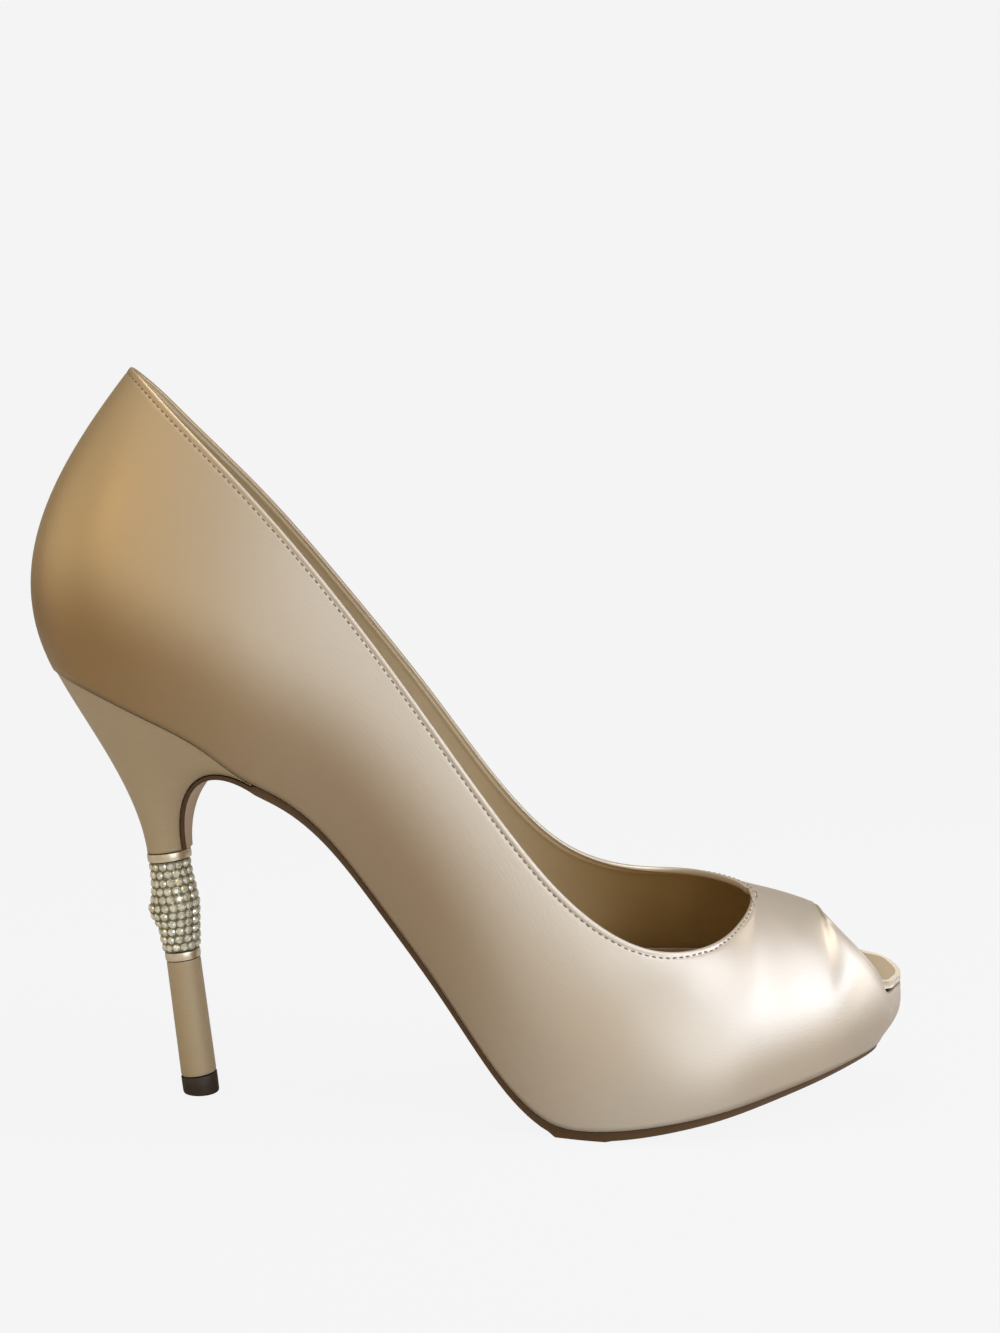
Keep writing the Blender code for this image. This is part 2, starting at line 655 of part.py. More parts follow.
def fill_heel_block(form):
    """The heel's upper part: the seat on top, flared sides, and an arched breast in front."""
    made = {}
    down = np.linspace(0, 1, HEEL_ROWS + 1)
    sides = heel_sides()
    breast = heel_breast(sides)
    around = sides[0] + breast[1:-1] + sides[1][::-1]
    rows = fill_sheet(form, made, [[bezier(handles, t) for t in down] for handles in around])
    form.faces.new([row[-1] for row in rows[:-1]])
    ribs, edges = heel_seat()
    seat = []
    for x, outer, inner in zip(ribs, *edges):
        parts = BREAST_PARTS if x == ribs[-1] else 1
        height = float(bottom_height(x))
        seat.append([vertex_at(form, made, (x, y, height)) for y in np.linspace(outer, inner, parts + 1)])
    for row, after in zip(seat, seat[1:]):
        fill_face(form, [row[0], *after, row[-1]])
    lip = [vertex_at(form, made, handles[0]) for handles in breast]
    for i in range(BREAST_PARTS):
        fill_face(form, [seat[-1][i], seat[-1][i + 1], lip[i + 1], lip[i]])
    for end, beside in ((0, sides[0][-2]), (-1, sides[1][-2])):
        fill_face(form, [seat[-1][end], lip[end], vertex_at(form, made, beside[0])])


def fill_outsole(form):
    """The outsole, which goes on down the heel's breast as a thin flap."""
    edges = [outline_at(inner, foot_height, SOLE_INSET) for inner in (False, True)]
    end = min(edge[:, 0].max() for edge in edges)
    over, under = [], []
    for x in stations(float(x_of(BREAST)) + BREAST_FLAP, end, round_start=False)[::-1]:
        y = across(*edges, x, BREAST_PARTS)
        over.append([(x, side, float(bottom_height(x))) for side in y])
        under.append([(x, side, float(underside(x))) for side in y])
    breast = heel_breast(heel_sides())
    down = np.linspace(0, 1, HEEL_ROWS + 1)
    face = np.array([[bezier(handles, t) for handles in breast] for t in down])
    normal = np.cross(np.gradient(face, axis=0), np.gradient(face, axis=1))
    normal /= np.linalg.norm(normal, axis=2)[..., None]
    normal *= np.sign(normal[..., :1] - normal[..., 2:])
    over += [list(row) for row in face + normal * GAP]
    under += [list(row) for row in face + normal * (GAP + BREAST_FLAP)]
    fill_slab(form, over, under)


def fill_turned(form, rows):
    """A closed solid round the heel's axis through rows of height, back, front and side, from the top down."""
    made = {}
    turns = np.linspace(0, 2 * math.pi, ROUND_PARTS + 1)
    grid = [[heel_section(*row, turn) for turn in turns] for row in rows]
    for row in grid:
        row[-1] = row[0]
    loops = fill_sheet(form, made, grid)
    for loop in (loops[0], loops[-1]):
        form.faces.new(loop[:-1])


def ring_rows(top, back, front, side):
    """A ring with a rounded outer face."""
    bulge = RING_OVERHANG * 2
    rows = []
    for share in np.linspace(0, 1, 5):
        out = RING_OVERHANG + bulge * (math.sin(math.pi * share) - 1) / 2 + bulge / 2
        rows.append((top - share * RING_HEIGHT, back + out, front + out, side + out))
    return rows


def sleeve_rows():
    top = TIP_HEIGHT + STEM_HEIGHT + RING_HEIGHT + SLEEVE_HEIGHT + 3 * GAP
    return [
        (top - share * SLEEVE_HEIGHT, back * NECK_DEPTH, front * NECK_DEPTH, side * NECK_DEPTH)
        for share, back, front, side in SLEEVE_FORM
    ]


def stem_rows():
    top, foot = STEM_TOP_DEPTH / 2, STEM_FOOT_DEPTH / 2
    low = TIP_HEIGHT + GAP
    return [
        (low + STEM_HEIGHT, top, top, top * STEM_WIDTH_RATIO),
        (low + STEM_HEIGHT / 2, (top + foot) / 2, (top + foot) / 2, (top + foot) / 2 * STEM_WIDTH_RATIO),
        (low, foot, foot, foot * STEM_WIDTH_RATIO),
    ]


def tip_rows():
    half = STEM_FOOT_DEPTH / 2 + TIP_OVERHANG
    sizes = ((TIP_HEIGHT, half), (TIP_RIM, half), (TIP_RIM * 0.3, half - TIP_RIM * 0.3), (0.0, half - TIP_RIM))
    return [(height, size, size, size * STEM_WIDTH_RATIO) for height, size in sizes]


def main():
    for old in list(bpy.data.objects):
        bpy.data.objects.remove(old)
    add_object("upper", "satin", fill_upper)
    add_object("insole", "sock_leather", fill_insole)
    add_object("platform", "platform_cover", fill_platform)
    add_object("outsole", "sole_leather", fill_outsole)
    add_object("heel_block", "heel_satin", fill_heel_block)
    neck = NECK_DEPTH / 2, NECK_DEPTH / 2, NECK_WIDTH / 2
    add_object("heel_ring_top", "pale_gold", fill_turned, ring_rows(NECK_HEIGHT, *neck))
    add_object("heel_sleeve", "crystal_pave", fill_turned, sleeve_rows())
    stem = stem_rows()
    low_ring = ring_rows(TIP_HEIGHT + STEM_HEIGHT + RING_HEIGHT + 2 * GAP, *stem[0][1:])
    add_object("heel_ring_low", "pale_gold", fill_turned, low_ring)
    add_object("heel_stem", "heel_satin", fill_turned, stem)
    add_object("heel_tip", "tip_rubber", fill_turned, tip_rows())


main()
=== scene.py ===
# %% [markdown]
# # A satin peep toe pump
# This lesson dresses the plain solids of a peep toe pump: a satin upper over a hidden platform, a leather
# outsole, and a slim covered heel with a crystal-set sleeve. The solids stay the frame of everything, so each
# fine piece is made from the same named sizes and lands exactly where its solid is.

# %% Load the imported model
import math
import random

import bpy
import numpy as np
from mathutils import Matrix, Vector
from mathutils.bvhtree import BVHTree
from mathutils.kdtree import KDTree


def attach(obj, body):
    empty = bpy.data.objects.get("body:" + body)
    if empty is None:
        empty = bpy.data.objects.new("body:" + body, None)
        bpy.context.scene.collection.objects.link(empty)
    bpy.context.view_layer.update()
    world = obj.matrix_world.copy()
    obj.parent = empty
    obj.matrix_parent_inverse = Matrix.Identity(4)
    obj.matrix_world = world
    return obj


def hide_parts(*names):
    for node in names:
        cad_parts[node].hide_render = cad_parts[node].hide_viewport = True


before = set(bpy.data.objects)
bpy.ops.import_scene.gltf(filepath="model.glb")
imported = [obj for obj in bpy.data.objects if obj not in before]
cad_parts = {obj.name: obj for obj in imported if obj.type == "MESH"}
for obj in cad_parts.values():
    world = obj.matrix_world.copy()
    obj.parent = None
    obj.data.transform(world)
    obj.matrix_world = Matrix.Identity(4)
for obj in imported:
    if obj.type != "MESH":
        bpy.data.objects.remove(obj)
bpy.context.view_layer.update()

print("solids:", sorted(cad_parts))

# %% [markdown]
# ## The last
# A shoemaker forms a shoe on a last. Here the last is a handful of sections: each row says where the upper's
# wall meets the sole, where it ends at the collar, the bridge or the toe opening, and how it swells between.
# Smooth curves through the rows then give the wall at any place, as coarse or as fine as a piece needs.
# A sculpted mesh could do this too, but sections keep every size readable and easy to change.

# %% Driving sizes, in millimetres
MM = 0.001
LENGTH = 212.0
HEEL_SETBACK = 39.6
BALL_WIDTH = 76.0
SEAT_RISE = 103.0
BACK_HEIGHT = 72.0
TOE_SPRING = 12.4
PLATFORM = 22.0
THROAT_RISE = 26.0
WALL = 1.6
OUTSOLE = 2.4
OUTSOLE_TOE = 1.1
BREAST_FLAP = 1.0
INSOLE = 3.4
INSOLE_TOE = 4.2
TOE_DROP = 2.0
INSOLE_DISH = 1.6
GAP = 0.3
SOLE_INSET = 0.6
TOE_OVERHANG = 0.1
ROOM = 0.6
SILL_ROOM = 0.1
LEAST_STEEPNESS = 0.4
SIDES = (False, True)
print(f"the shoe is {LENGTH:.0f} mm long and {BALL_WIDTH:.0f} mm wide at the ball")

# %% Profile of the sole and rise of the platform
# along: share of LENGTH from the back. seat: share of SEAT_RISE. spring: share of TOE_SPRING.
PROFILE = (
    (0.024, 1.000, 0.00),
    (0.076, 0.959, 0.00),
    (0.146, 0.895, 0.00),
    (0.214, 0.820, 0.00),
    (0.250, 0.766, 0.00),
    (0.297, 0.713, 0.00),
    (0.344, 0.631, 0.00),
    (0.406, 0.468, 0.00),
    (0.467, 0.297, 0.00),
    (0.505, 0.183, 0.00),
    (0.538, 0.093, 0.00),
    (0.566, 0.037, 0.00),
    (0.590, 0.008, 0.00),
    (0.610, 0.000, 0.00),
    (0.642, 0.000, 0.01),
    (0.684, 0.000, 0.09),
    (0.726, 0.000, 0.21),
    (0.769, 0.000, 0.35),
    (0.816, 0.000, 0.52),
    (0.863, 0.000, 0.69),
    (0.925, 0.000, 0.88),
    (0.980, 0.000, 1.00),
)
FLAT_FROM = 0.592
FLAT_TO = 0.648
# along: share of LENGTH from the back. deck: share of PLATFORM.
DECK = (
    (0.024, 0.00),
    (0.300, 0.01),
    (0.350, 0.06),
    (0.392, 0.17),
    (0.439, 0.38),
    (0.486, 0.62),
    (0.533, 0.88),
    (0.580, 1.04),
    (0.628, 1.05),
    (0.675, 0.98),
    (0.736, 0.87),
    (0.807, 0.74),
    (0.901, 0.61),
    (0.995, 0.53),
)
# Toward the toe the insole's edge gets thicker and its top tilts up to the inner side.
TOE_EDGE_FROM = 0.87
TOE_EDGE_TO = 0.95
TOE_EDGE_TILT = 0.17
TOE_DROP_FROM = 0.93

# %% Sections of the upper
# foot: where the wall meets the sole. top: where it ends, at the collar, the bridge or the toe opening.
# along: share of LENGTH from the back. out: share of BALL_WIDTH from the long axis.
# quarter, deck, box: height of the top over the foot, in BACK_HEIGHT, PLATFORM and THROAT_RISE.
# dome: 0 for a straight wall, 1 for a quarter round. low, high: swell of the wall, in BALL_WIDTH.
SECTION_COLUMNS = (
    "foot_along", "foot_out", "top_along", "top_out",
    "quarter", "deck", "box", "dome", "low", "high",
)
BACK = (0.024, 0.000, 0.116, 0.000, 1.000, 0.00, 0.000, 0.10, 0.250, 0.125)
OUTER_COLLAR = (
    (0.047, 0.165, 0.130, 0.090, 0.990, 0.00, 0.000, 0.05, 0.200, 0.110),
    (0.108, 0.270, 0.170, 0.175, 0.945, 0.00, 0.000, 0.00, 0.120, 0.070),
    (0.193, 0.309, 0.250, 0.242, 0.822, 0.00, 0.000, 0.00, 0.090, 0.050),
    (0.288, 0.309, 0.354, 0.270, 0.645, 0.00, 0.000, 0.05, 0.065, 0.045),
    (0.382, 0.296, 0.458, 0.305, 0.506, 0.00, 0.000, 0.10, 0.060, 0.045),
    (0.467, 0.329, 0.552, 0.338, 0.361, 0.35, 0.000, 0.20, 0.055, 0.045),
    (0.547, 0.395, 0.627, 0.363, 0.200, 0.70, 0.392, 0.40, 0.050, 0.040),
    (0.627, 0.474, 0.702, 0.355, 0.000, 1.00, 0.669, 0.55, 0.045, 0.030),
    (0.703, 0.500, 0.759, 0.286, 0.000, 0.93, 0.647, 0.60, 0.040, 0.025),
    (0.769, 0.480, 0.803, 0.143, 0.000, 0.80, 0.780, 0.65, 0.040, 0.020),
)
OUTER_THROAT = (0.825, 0.421, 0.823, -0.053, 0.000, 0.70, 0.990, 0.75, 0.040, 0.015)
OUTER_BRIDGE_END = (0.892, 0.316, 0.903, -0.066, 0.000, 0.60, 0.800, 0.80, 0.045, 0.015)
OUTER_PEEP = (
    (0.929, 0.230, 0.921, 0.083, 0.000, 0.585, 0.616, 0.85, 0.048, 0.020),
    (0.957, 0.145, 0.952, 0.118, 0.000, 0.577, 0.335, 0.60, 0.042, 0.025),
    (0.966, 0.105, 0.967, 0.098, 0.000, 0.550, 0.180, 0.30, 0.042, 0.025),
    (0.974, 0.045, 0.978, 0.066, 0.000, 0.530, 0.005, 0.10, 0.045, 0.022),
    (0.981, -0.015, 0.995, -0.007, 0.000, 0.522, -0.005, 0.00, 0.048, 0.020),
)
TOE = (0.984, -0.070, 1.006, -0.092, 0.000, 0.518, 0.000, 0.00, 0.050, 0.020)
INNER_PEEP = (
    (0.929, 0.280, 0.918, 0.200, 0.000, 0.585, 0.570, 0.85, 0.060, 0.025),
    (0.957, 0.235, 0.953, 0.234, 0.000, 0.577, 0.280, 0.60, 0.045, 0.025),
    (0.968, 0.215, 0.970, 0.234, 0.000, 0.550, 0.110, 0.30, 0.045, 0.025),
    (0.977, 0.170, 0.984, 0.208, 0.000, 0.530, 0.010, 0.10, 0.045, 0.022),
    (0.982, 0.125, 0.999, 0.160, 0.000, 0.520, -0.005, 0.00, 0.048, 0.020),
)
INNER_BRIDGE_END = (0.892, 0.355, 0.903, 0.066, 0.000, 0.60, 0.800, 1.20, 0.050, 0.020)
INNER_THROAT = (0.825, 0.454, 0.823, 0.053, 0.000, 0.70, 0.990, 1.25, 0.040, 0.020)
INNER_COLLAR = (
    (0.047, 0.165, 0.130, 0.090, 0.990, 0.00, 0.000, 0.05, 0.200, 0.110),
    (0.108, 0.263, 0.170, 0.175, 0.945, 0.00, 0.000, 0.00, 0.120, 0.070),
    (0.193, 0.296, 0.250, 0.242, 0.825, 0.00, 0.000, 0.00, 0.090, 0.050),
    (0.288, 0.270, 0.354, 0.270, 0.648, 0.00, 0.000, 0.05, 0.070, 0.050),
    (0.382, 0.230, 0.458, 0.305, 0.526, 0.00, 0.000, 0.10, 0.070, 0.050),
    (0.467, 0.250, 0.552, 0.338, 0.396, 0.35, 0.000, 0.20, 0.070, 0.050),
    (0.547, 0.329, 0.618, 0.362, 0.250, 0.70, 0.523, 0.45, 0.060, 0.045),
    (0.627, 0.408, 0.689, 0.359, 0.000, 1.00, 1.060, 0.65, 0.050, 0.040),
    (0.703, 0.474, 0.751, 0.300, 0.000, 0.93, 1.050, 0.80, 0.045, 0.030),
    (0.769, 0.487, 0.800, 0.158, 0.000, 0.80, 1.060, 1.00, 0.040, 0.025),
)

# %% Smooth curves


def spline(knots, values):
    """A smooth curve through values at knots: a natural cubic, as a function of the knot."""
    knots = np.asarray(knots, float)
    values = np.asarray(values, float)
    flat = values.reshape(len(knots), -1)
    steps = np.diff(knots)
    slopes = np.diff(flat, axis=0) / steps[:, None]
    system = np.eye(len(knots))
    right = np.zeros_like(flat)
    for i in range(1, len(knots) - 1):
        system[i, i - 1 : i + 2] = steps[i - 1], 2 * (steps[i - 1] + steps[i]), steps[i]
        right[i] = 6 * (slopes[i] - slopes[i - 1])
    bend = np.linalg.solve(system, right)

    def at(where):
        where = np.asarray(where, float)
        flat_where = where.ravel()
        i = np.clip(np.searchsorted(knots, flat_where, side="right") - 1, 0, len(steps) - 1)
        h = steps[i][:, None]
        a = (knots[i + 1] - flat_where)[:, None] / h
        b = 1 - a
        cubic = ((a**3 - a) * bend[i] + (b**3 - b) * bend[i + 1]) * h**2 / 6
        found = a * flat[i] + b * flat[i + 1] + cubic
        return found.reshape(where.shape + values.shape[1:])

    return at


class Ring:
    """A closed smooth curve through points, walked from its first point along either side."""

    def __init__(self, points, values=None):
        points = np.asarray(points, float)
        values = points if values is None else np.asarray(values, float)
        gaps = np.linalg.norm(np.roll(points, -1, axis=0) - points, axis=1)
        self.stops = np.concatenate([[0], np.cumsum(gaps)])
        around = self.stops[-1]
        knots = self.stops[:-1]
        three_rounds = np.concatenate([knots - around, knots, knots + around])
        self.at = spline(three_rounds, np.concatenate([values] * 3))

    def stops_on(self, inner, count):
        """Distances from the first point to it and the next ones, along the outer or the inner side."""
        stops = self.stops[-1] - self.stops[::-1] if inner else self.stops
        return stops[:count]

    def walk(self, inner, reach):
        """What the curve carries at distances from the first point."""
        return self.at(self.stops[-1] - reach if inner else reach)


# %% Heights along the shoe


def x_of(along):
    """Distance in front of the heel tip of a share of LENGTH from the back."""
    return np.asarray(along) * LENGTH - HEEL_SETBACK


def along_of(x):
    """Share of LENGTH from the back of a distance in front of the heel tip."""
    return (np.asarray(x) + HEEL_SETBACK) / LENGTH


_profile = np.array(PROFILE)
_underside = spline(_profile[:, 0], _profile[:, 1] * SEAT_RISE + _profile[:, 2] * TOE_SPRING)
_deck = spline([row[0] for row in DECK], [row[1] * PLATFORM for row in DECK])


def underside(x):
    """Height over the floor of the outsole's underside, flat where the forefoot rests."""
    along = along_of(x)
    thinner = (OUTSOLE - OUTSOLE_TOE) * np.clip((along - FLAT_TO) / (TOE[0] - FLAT_TO), 0, 1)
    level = np.maximum(_underside(along) + thinner, 0.0)
    return np.where((along > FLAT_FROM) & (along < FLAT_TO), 0.0, level)


def foot_height(x):
    """Height over the floor of the line where the upper meets the sole."""
    return _underside(along_of(x)) + OUTSOLE


def bottom_height(x):
    """Height over the floor of the tops of the outsole and of the heel, a gap under the foot line."""
    return foot_height(x) - GAP


def deck_height(x):
    """Height over the floor of the platform's top, which runs out to the outsole and the heel behind it."""
    return bottom_height(x) + np.maximum(_deck(along_of(x)), 0.0)


def insole_underside(x):
    return deck_height(x) + GAP


def toe_share(x):
    """0 behind the toe's thick insole edge, 1 in it, and a smooth step between."""
    share = np.clip((along_of(x) - TOE_EDGE_FROM) / (TOE_EDGE_TO - TOE_EDGE_FROM), 0, 1)
    return share * share * (3 - 2 * share)


def insole_top(x):
    drop = TOE_DROP * (np.clip(along_of(x) - TOE_DROP_FROM, 0, 1) / (1 - TOE_DROP_FROM)) ** 2
    return insole_underside(x) + INSOLE + (INSOLE_TOE - INSOLE) * toe_share(x) - drop


print(f"the insole is {float(insole_top(100.0)):.1f} mm over the floor under the ball of the foot")

# %% The last's surface


class Last:
    """The surface that the upper is shaped on, worked out from the sections."""

    def __init__(self):
        outer = [BACK, *OUTER_COLLAR, OUTER_THROAT, OUTER_BRIDGE_END, *OUTER_PEEP, TOE]
        inner = [*INNER_COLLAR, INNER_THROAT, INNER_BRIDGE_END, *INNER_PEEP]
        self.throat = 1 + len(OUTER_COLLAR)
        self.bridge_end = self.throat + 1
        self.toe = len(outer) - 1
        rows = np.array(outer + inner[::-1])
        side = np.where(np.arange(len(rows)) <= self.toe, -1.0, 1.0)
        column = {name: rows[:, i] for i, name in enumerate(SECTION_COLUMNS)}
        foot_x = x_of(column["foot_along"])
        foot = np.stack([foot_x, side * column["foot_out"] * BALL_WIDTH], 1)
        rise = column["quarter"] * BACK_HEIGHT + column["deck"] * PLATFORM + column["box"] * THROAT_RISE
        top = np.stack(
            [x_of(column["top_along"]), side * column["top_out"] * BALL_WIDTH, foot_height(foot_x) + rise], 1
        )
        shape = np.stack([column["dome"], column["low"] * BALL_WIDTH, column["high"] * BALL_WIDTH], 1)
        inner_bridge_end = len(rows) - self.bridge_end
        inner_throat = len(rows) - self.throat
        self.foot = Ring(foot, np.concatenate([foot, shape], 1))
        self.collar = Ring(np.concatenate([top[: self.throat + 1], top[inner_throat + 1 :]]))
        self.peep = Ring(top[self.bridge_end : inner_bridge_end])
        self.bridge = top[self.throat], top[self.bridge_end]

    def columns(self, inner, collar_columns, bridge_columns, peep_columns, crowding=0.4):
        """Where each column of one side starts on the foot line, and where it ends on the top edge."""
        stops = self.foot.stops_on(inner, self.toe + 1)
        collar_stops = self.collar.stops_on(inner, self.throat + 1)
        even = np.linspace(0, 1, collar_columns + 1)
        reach = (even - crowding * np.sin(2 * np.pi * even) / (2 * np.pi)) * collar_stops[-1]
        feet = [spline(collar_stops, stops[: self.throat + 1])(reach)]
        tops = [self.collar.walk(inner, reach)]
        share = np.linspace(0, 1, bridge_columns + 1)[1:-1]
        feet.append(stops[self.throat] * (1 - share) + stops[self.bridge_end] * share)
        tops.append(self.bridge[0] * (1 - share[:, None]) + self.bridge[1] * share[:, None])
        peep_stops = self.peep.stops_on(inner, self.toe - self.bridge_end + 1)
        reach = np.linspace(0, peep_stops[-1], peep_columns + 1)
        feet.append(spline(peep_stops, stops[self.bridge_end :])(reach))
        tops.append(self.peep.walk(inner, reach))
        return np.concatenate(feet), np.concatenate(tops)

    def wall(self, inner, feet, tops, shares):
        """Points of the wall over each foot, at shares of the way up: an array of columns, rows and axes."""
        here = self.foot.walk(inner, feet)
        step = 0.05
        tangent = self.foot.walk(inner, feet + step)[:, :2] - self.foot.walk(inner, feet - step)[:, :2]
        turn = -1.0 if inner else 1.0
        out = turn * np.stack([tangent[:, 1], -tangent[:, 0]], 1)
        out /= np.linalg.norm(out, axis=1)[:, None]
        foot = np.concatenate([here[:, :2], foot_height(here[:, 0])[:, None]], 1)
        chord = tops - foot
        dome, low, high = here[:, 2:].T[..., None]
        t = np.atleast_2d(shares)
        first, second, last = 3 * t * (1 - t) ** 2, 3 * t**2 * (1 - t), t**3
        quarter_round = 0.552
        inward = first * (1 - dome) / 3 + second * (2 / 3 - dome * (quarter_round - 1 / 3)) + last
        upward = first * (1 / 3 + dome * (quarter_round - 1 / 3)) + second * (2 + dome) / 3 + last
        swell = first * low + second * high
        plan = foot[:, None, :2] + chord[:, None, :2] * inward[..., None] + out[:, None, :] * swell[..., None]
        height = foot[:, None, 2] + chord[:, None, 2] * upward
        return np.concatenate([plan, height[..., None]], 2)


LAST = Last()
print("the last has", LAST.toe + 1, "sections on the outer side")

# %% [markdown]
# ## Making meshes from grids
# Every fine piece of this shoe is a sheet that has been rolled, wrapped or stacked, so one maker is enough:
# it takes points in millimetres and faces, welds what falls together, and hangs the piece on the shoe.

# %% A maker for pieces


def new_piece(name, points, faces, finishes, face_finish=None, uvs=None, replaces=()):
    """A smooth mesh piece that rides on the shoe. faces index points; face_finish indexes finishes."""
    mesh = bpy.data.meshes.new(name)
    places = [tuple(p) for p in np.asarray(points, float) * MM]
    mesh.from_pydata(places, [], [list(map(int, f)) for f in faces])
    for finish in finishes:
        mesh.materials.append(finish)
    if face_finish is not None:
        mesh.polygons.foreach_set("material_index", np.asarray(face_finish, int))
    if uvs is not None:
        layer = mesh.uv_layers.new(name="cloth")
        corner = np.empty(len(mesh.loops), int)
        mesh.loops.foreach_get("vertex_index", corner)
        layer.data.foreach_set("uv", np.asarray(uvs, float)[corner].ravel())
    mesh.validate()
    mesh.shade_smooth()
    piece = bpy.data.objects.new(name, mesh)
    bpy.context.scene.collection.objects.link(piece)
    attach(piece, "root")
    if replaces:
        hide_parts(*replaces)
    print(f"{name}: {len(mesh.vertices)} points, {len(mesh.polygons)} faces")
    return piece


class Shell:
    """Points and faces that are being gathered; the same place gives the same point."""

    def __init__(self):
        self.points, self.faces, self.kinds, self.seen = [], [], [], {}

    def point(self, place, weld=True):
        key = tuple(round(float(c), 4) for c in place)
        if weld and key in self.seen:
            return self.seen[key]
        self.points.append([float(c) for c in place])
        if weld:
            self.seen[key] = len(self.points) - 1
        return len(self.points) - 1

    def face(self, corners, kind=0):
        corners = list(dict.fromkeys(corners))
        if len(corners) > 2:
            self.faces.append(corners)
            self.kinds.append(kind)

    def sheet(self, grid, kind=0, flip=False, weld=True):
        ids = [[self.point(place, weld) for place in row] for row in grid]
        for row, after in zip(ids, ids[1:]):
            for i in range(len(row) - 1):
                corners = [row[i], after[i], after[i + 1], row[i + 1]]
                self.face(corners[::-1] if flip else corners, kind)
        return ids

    def strip(self, rings, kind=0):
        """Faces between closed rows of point numbers."""
        for ring, after in zip(rings, rings[1:]):
            for i in range(len(ring)):
                j = (i + 1) % len(ring)
                self.face([ring[i], ring[j], after[j], after[i]], kind)

    def tube(self, rings):
        """A closed solid through rings of places."""
        numbers = [[self.point(place, weld=False) for place in ring] for ring in rings]
        self.strip(numbers)
        self.face(numbers[0][::-1])
        self.face(numbers[-1])


def circle(middle, radius, first, second, angles):
    """Places round a middle, at angles from a first direction toward a second."""
    return [middle + radius * (first * math.cos(a) + second * math.sin(a)) for a in angles]


def vertex_normals(points, faces):
    """Normals of points, averaged over the faces round each by their areas."""
    points = np.asarray(points, float)
    normals = np.zeros_like(points)
    for size in (3, 4):
        chosen = np.array([f for f in faces if len(f) == size])
        if not len(chosen):
            continue
        corners = points[chosen]
        if size == 4:
            across = np.cross(corners[:, 2] - corners[:, 0], corners[:, 3] - corners[:, 1])
        else:
            across = np.cross(corners[:, 1] - corners[:, 0], corners[:, 2] - corners[:, 0])
        for k in range(size):
            np.add.at(normals, chosen[:, k], across)
    return normals / np.maximum(np.linalg.norm(normals, axis=1), 1e-9)[:, None]


# %% [markdown]
# ## Finishes
# Each finish starts from the real material. One function turns a hex colour into the linear values that
# Blender mixes, and one adds a node with its settings and links, so each material below reads as a recipe.

# %% Helpers for materials


def linear(hex_colour):
    """A colour as sRGB hex, turned to linear red, green, blue and alpha."""
    channels = [int(hex_colour[i : i + 2], 16) / 255 for i in (1, 3, 5)]
    return tuple(c / 12.92 if c <= 0.04045 else ((c + 0.055) / 1.055) ** 2.4 for c in channels) + (1.0,)


def add_node(material, kind, settings=None, **inputs):
    """Adds a node. Settings are its own properties; an input is a value, or a node's output to link to."""
    node = material.node_tree.nodes.new(kind)
    for name, value in (settings or {}).items():
        setattr(node, name, value)
    for name, value in inputs.items():
        socket = node.inputs[int(name[1:])] if name[0] == "i" and name[1:].isdigit() else None
        socket = socket or node.inputs[name.replace("_", " ")]
        if isinstance(value, bpy.types.NodeSocket):
            material.node_tree.links.new(value, socket)
        else:
            socket.default_value = value
    return node


def new_finish(name, **settings):
    """A material with one Principled surface, whose plain values are set on its own sockets."""
    material = bpy.data.materials.new(name)
    material.use_nodes = True
    surface = material.node_tree.nodes["Principled BSDF"]
    for key, value in settings.items():
        surface.inputs[key.replace("_", " ")].default_value = value
    return material, surface


def join(material, output, surface, socket):
    material.node_tree.links.new(output, surface.inputs[socket])


RGBA = {"data_type": "RGBA"}


def mottle(material, surface, spot, detail, deep, pale):
    """Uneven colour in spots of a size in mm. Gives the place on the object and the spots."""
    place = add_node(material, "ShaderNodeTexCoord")
    spots = add_node(
        material, "ShaderNodeTexNoise", Vector=place.outputs["Object"], Scale=1 / (spot * MM), Detail=detail
    )
    colour = add_node(
        material, "ShaderNodeMix", RGBA, i0=spots.outputs["Fac"], i6=linear(deep), i7=linear(pale)
    )
    join(material, colour.outputs[2], surface, "Base Color")
    return place.outputs["Object"], spots.outputs["Fac"]


# %% [markdown]
# ### Champagne satin
# Duchesse satin is woven so that long warp threads float over the face. They reflect like a soft mirror,
# which gives satin its broad pale highlights over a much deeper body colour. So the finish is partly metallic
# with a middling roughness and fine lengthwise streaks. A warm reflection is painted into the colour as gold
# over the counter at the back, and shade is painted in as a browner colour where the satin turns under, low
# on the counter and the shank and on the skirt at the toe.

# %% Satin
THREAD = 0.40  # mm. Real warp threads are about 0.1 mm apart; drawn coarser so that they show.
THREAD_LENGTH = 6 * THREAD
THREAD_RELIEF = 0.08
STREAK_LENGTH, STREAK_WIDTH = 2.86, 0.294
# A warm reflection painted as gold over the counter: full at the first, gone at the second, in mm along the
# shoe.
REFLECTION_FULL, REFLECTION_NONE = -35.0, 40.0
# Each painted shade is from and to along the shoe, its strength at both, and where it is full and gone up the
# cloth.
PAINTED_SHADES = (
    (55.0, 100.0, 1.0, 0.0, 12.0, 34.0),
    (108.0, 138.0, 0.0, 0.55, 5.0, 15.0),
)
SMOOTH_STEP = {"interpolation_type": "SMOOTHSTEP"}


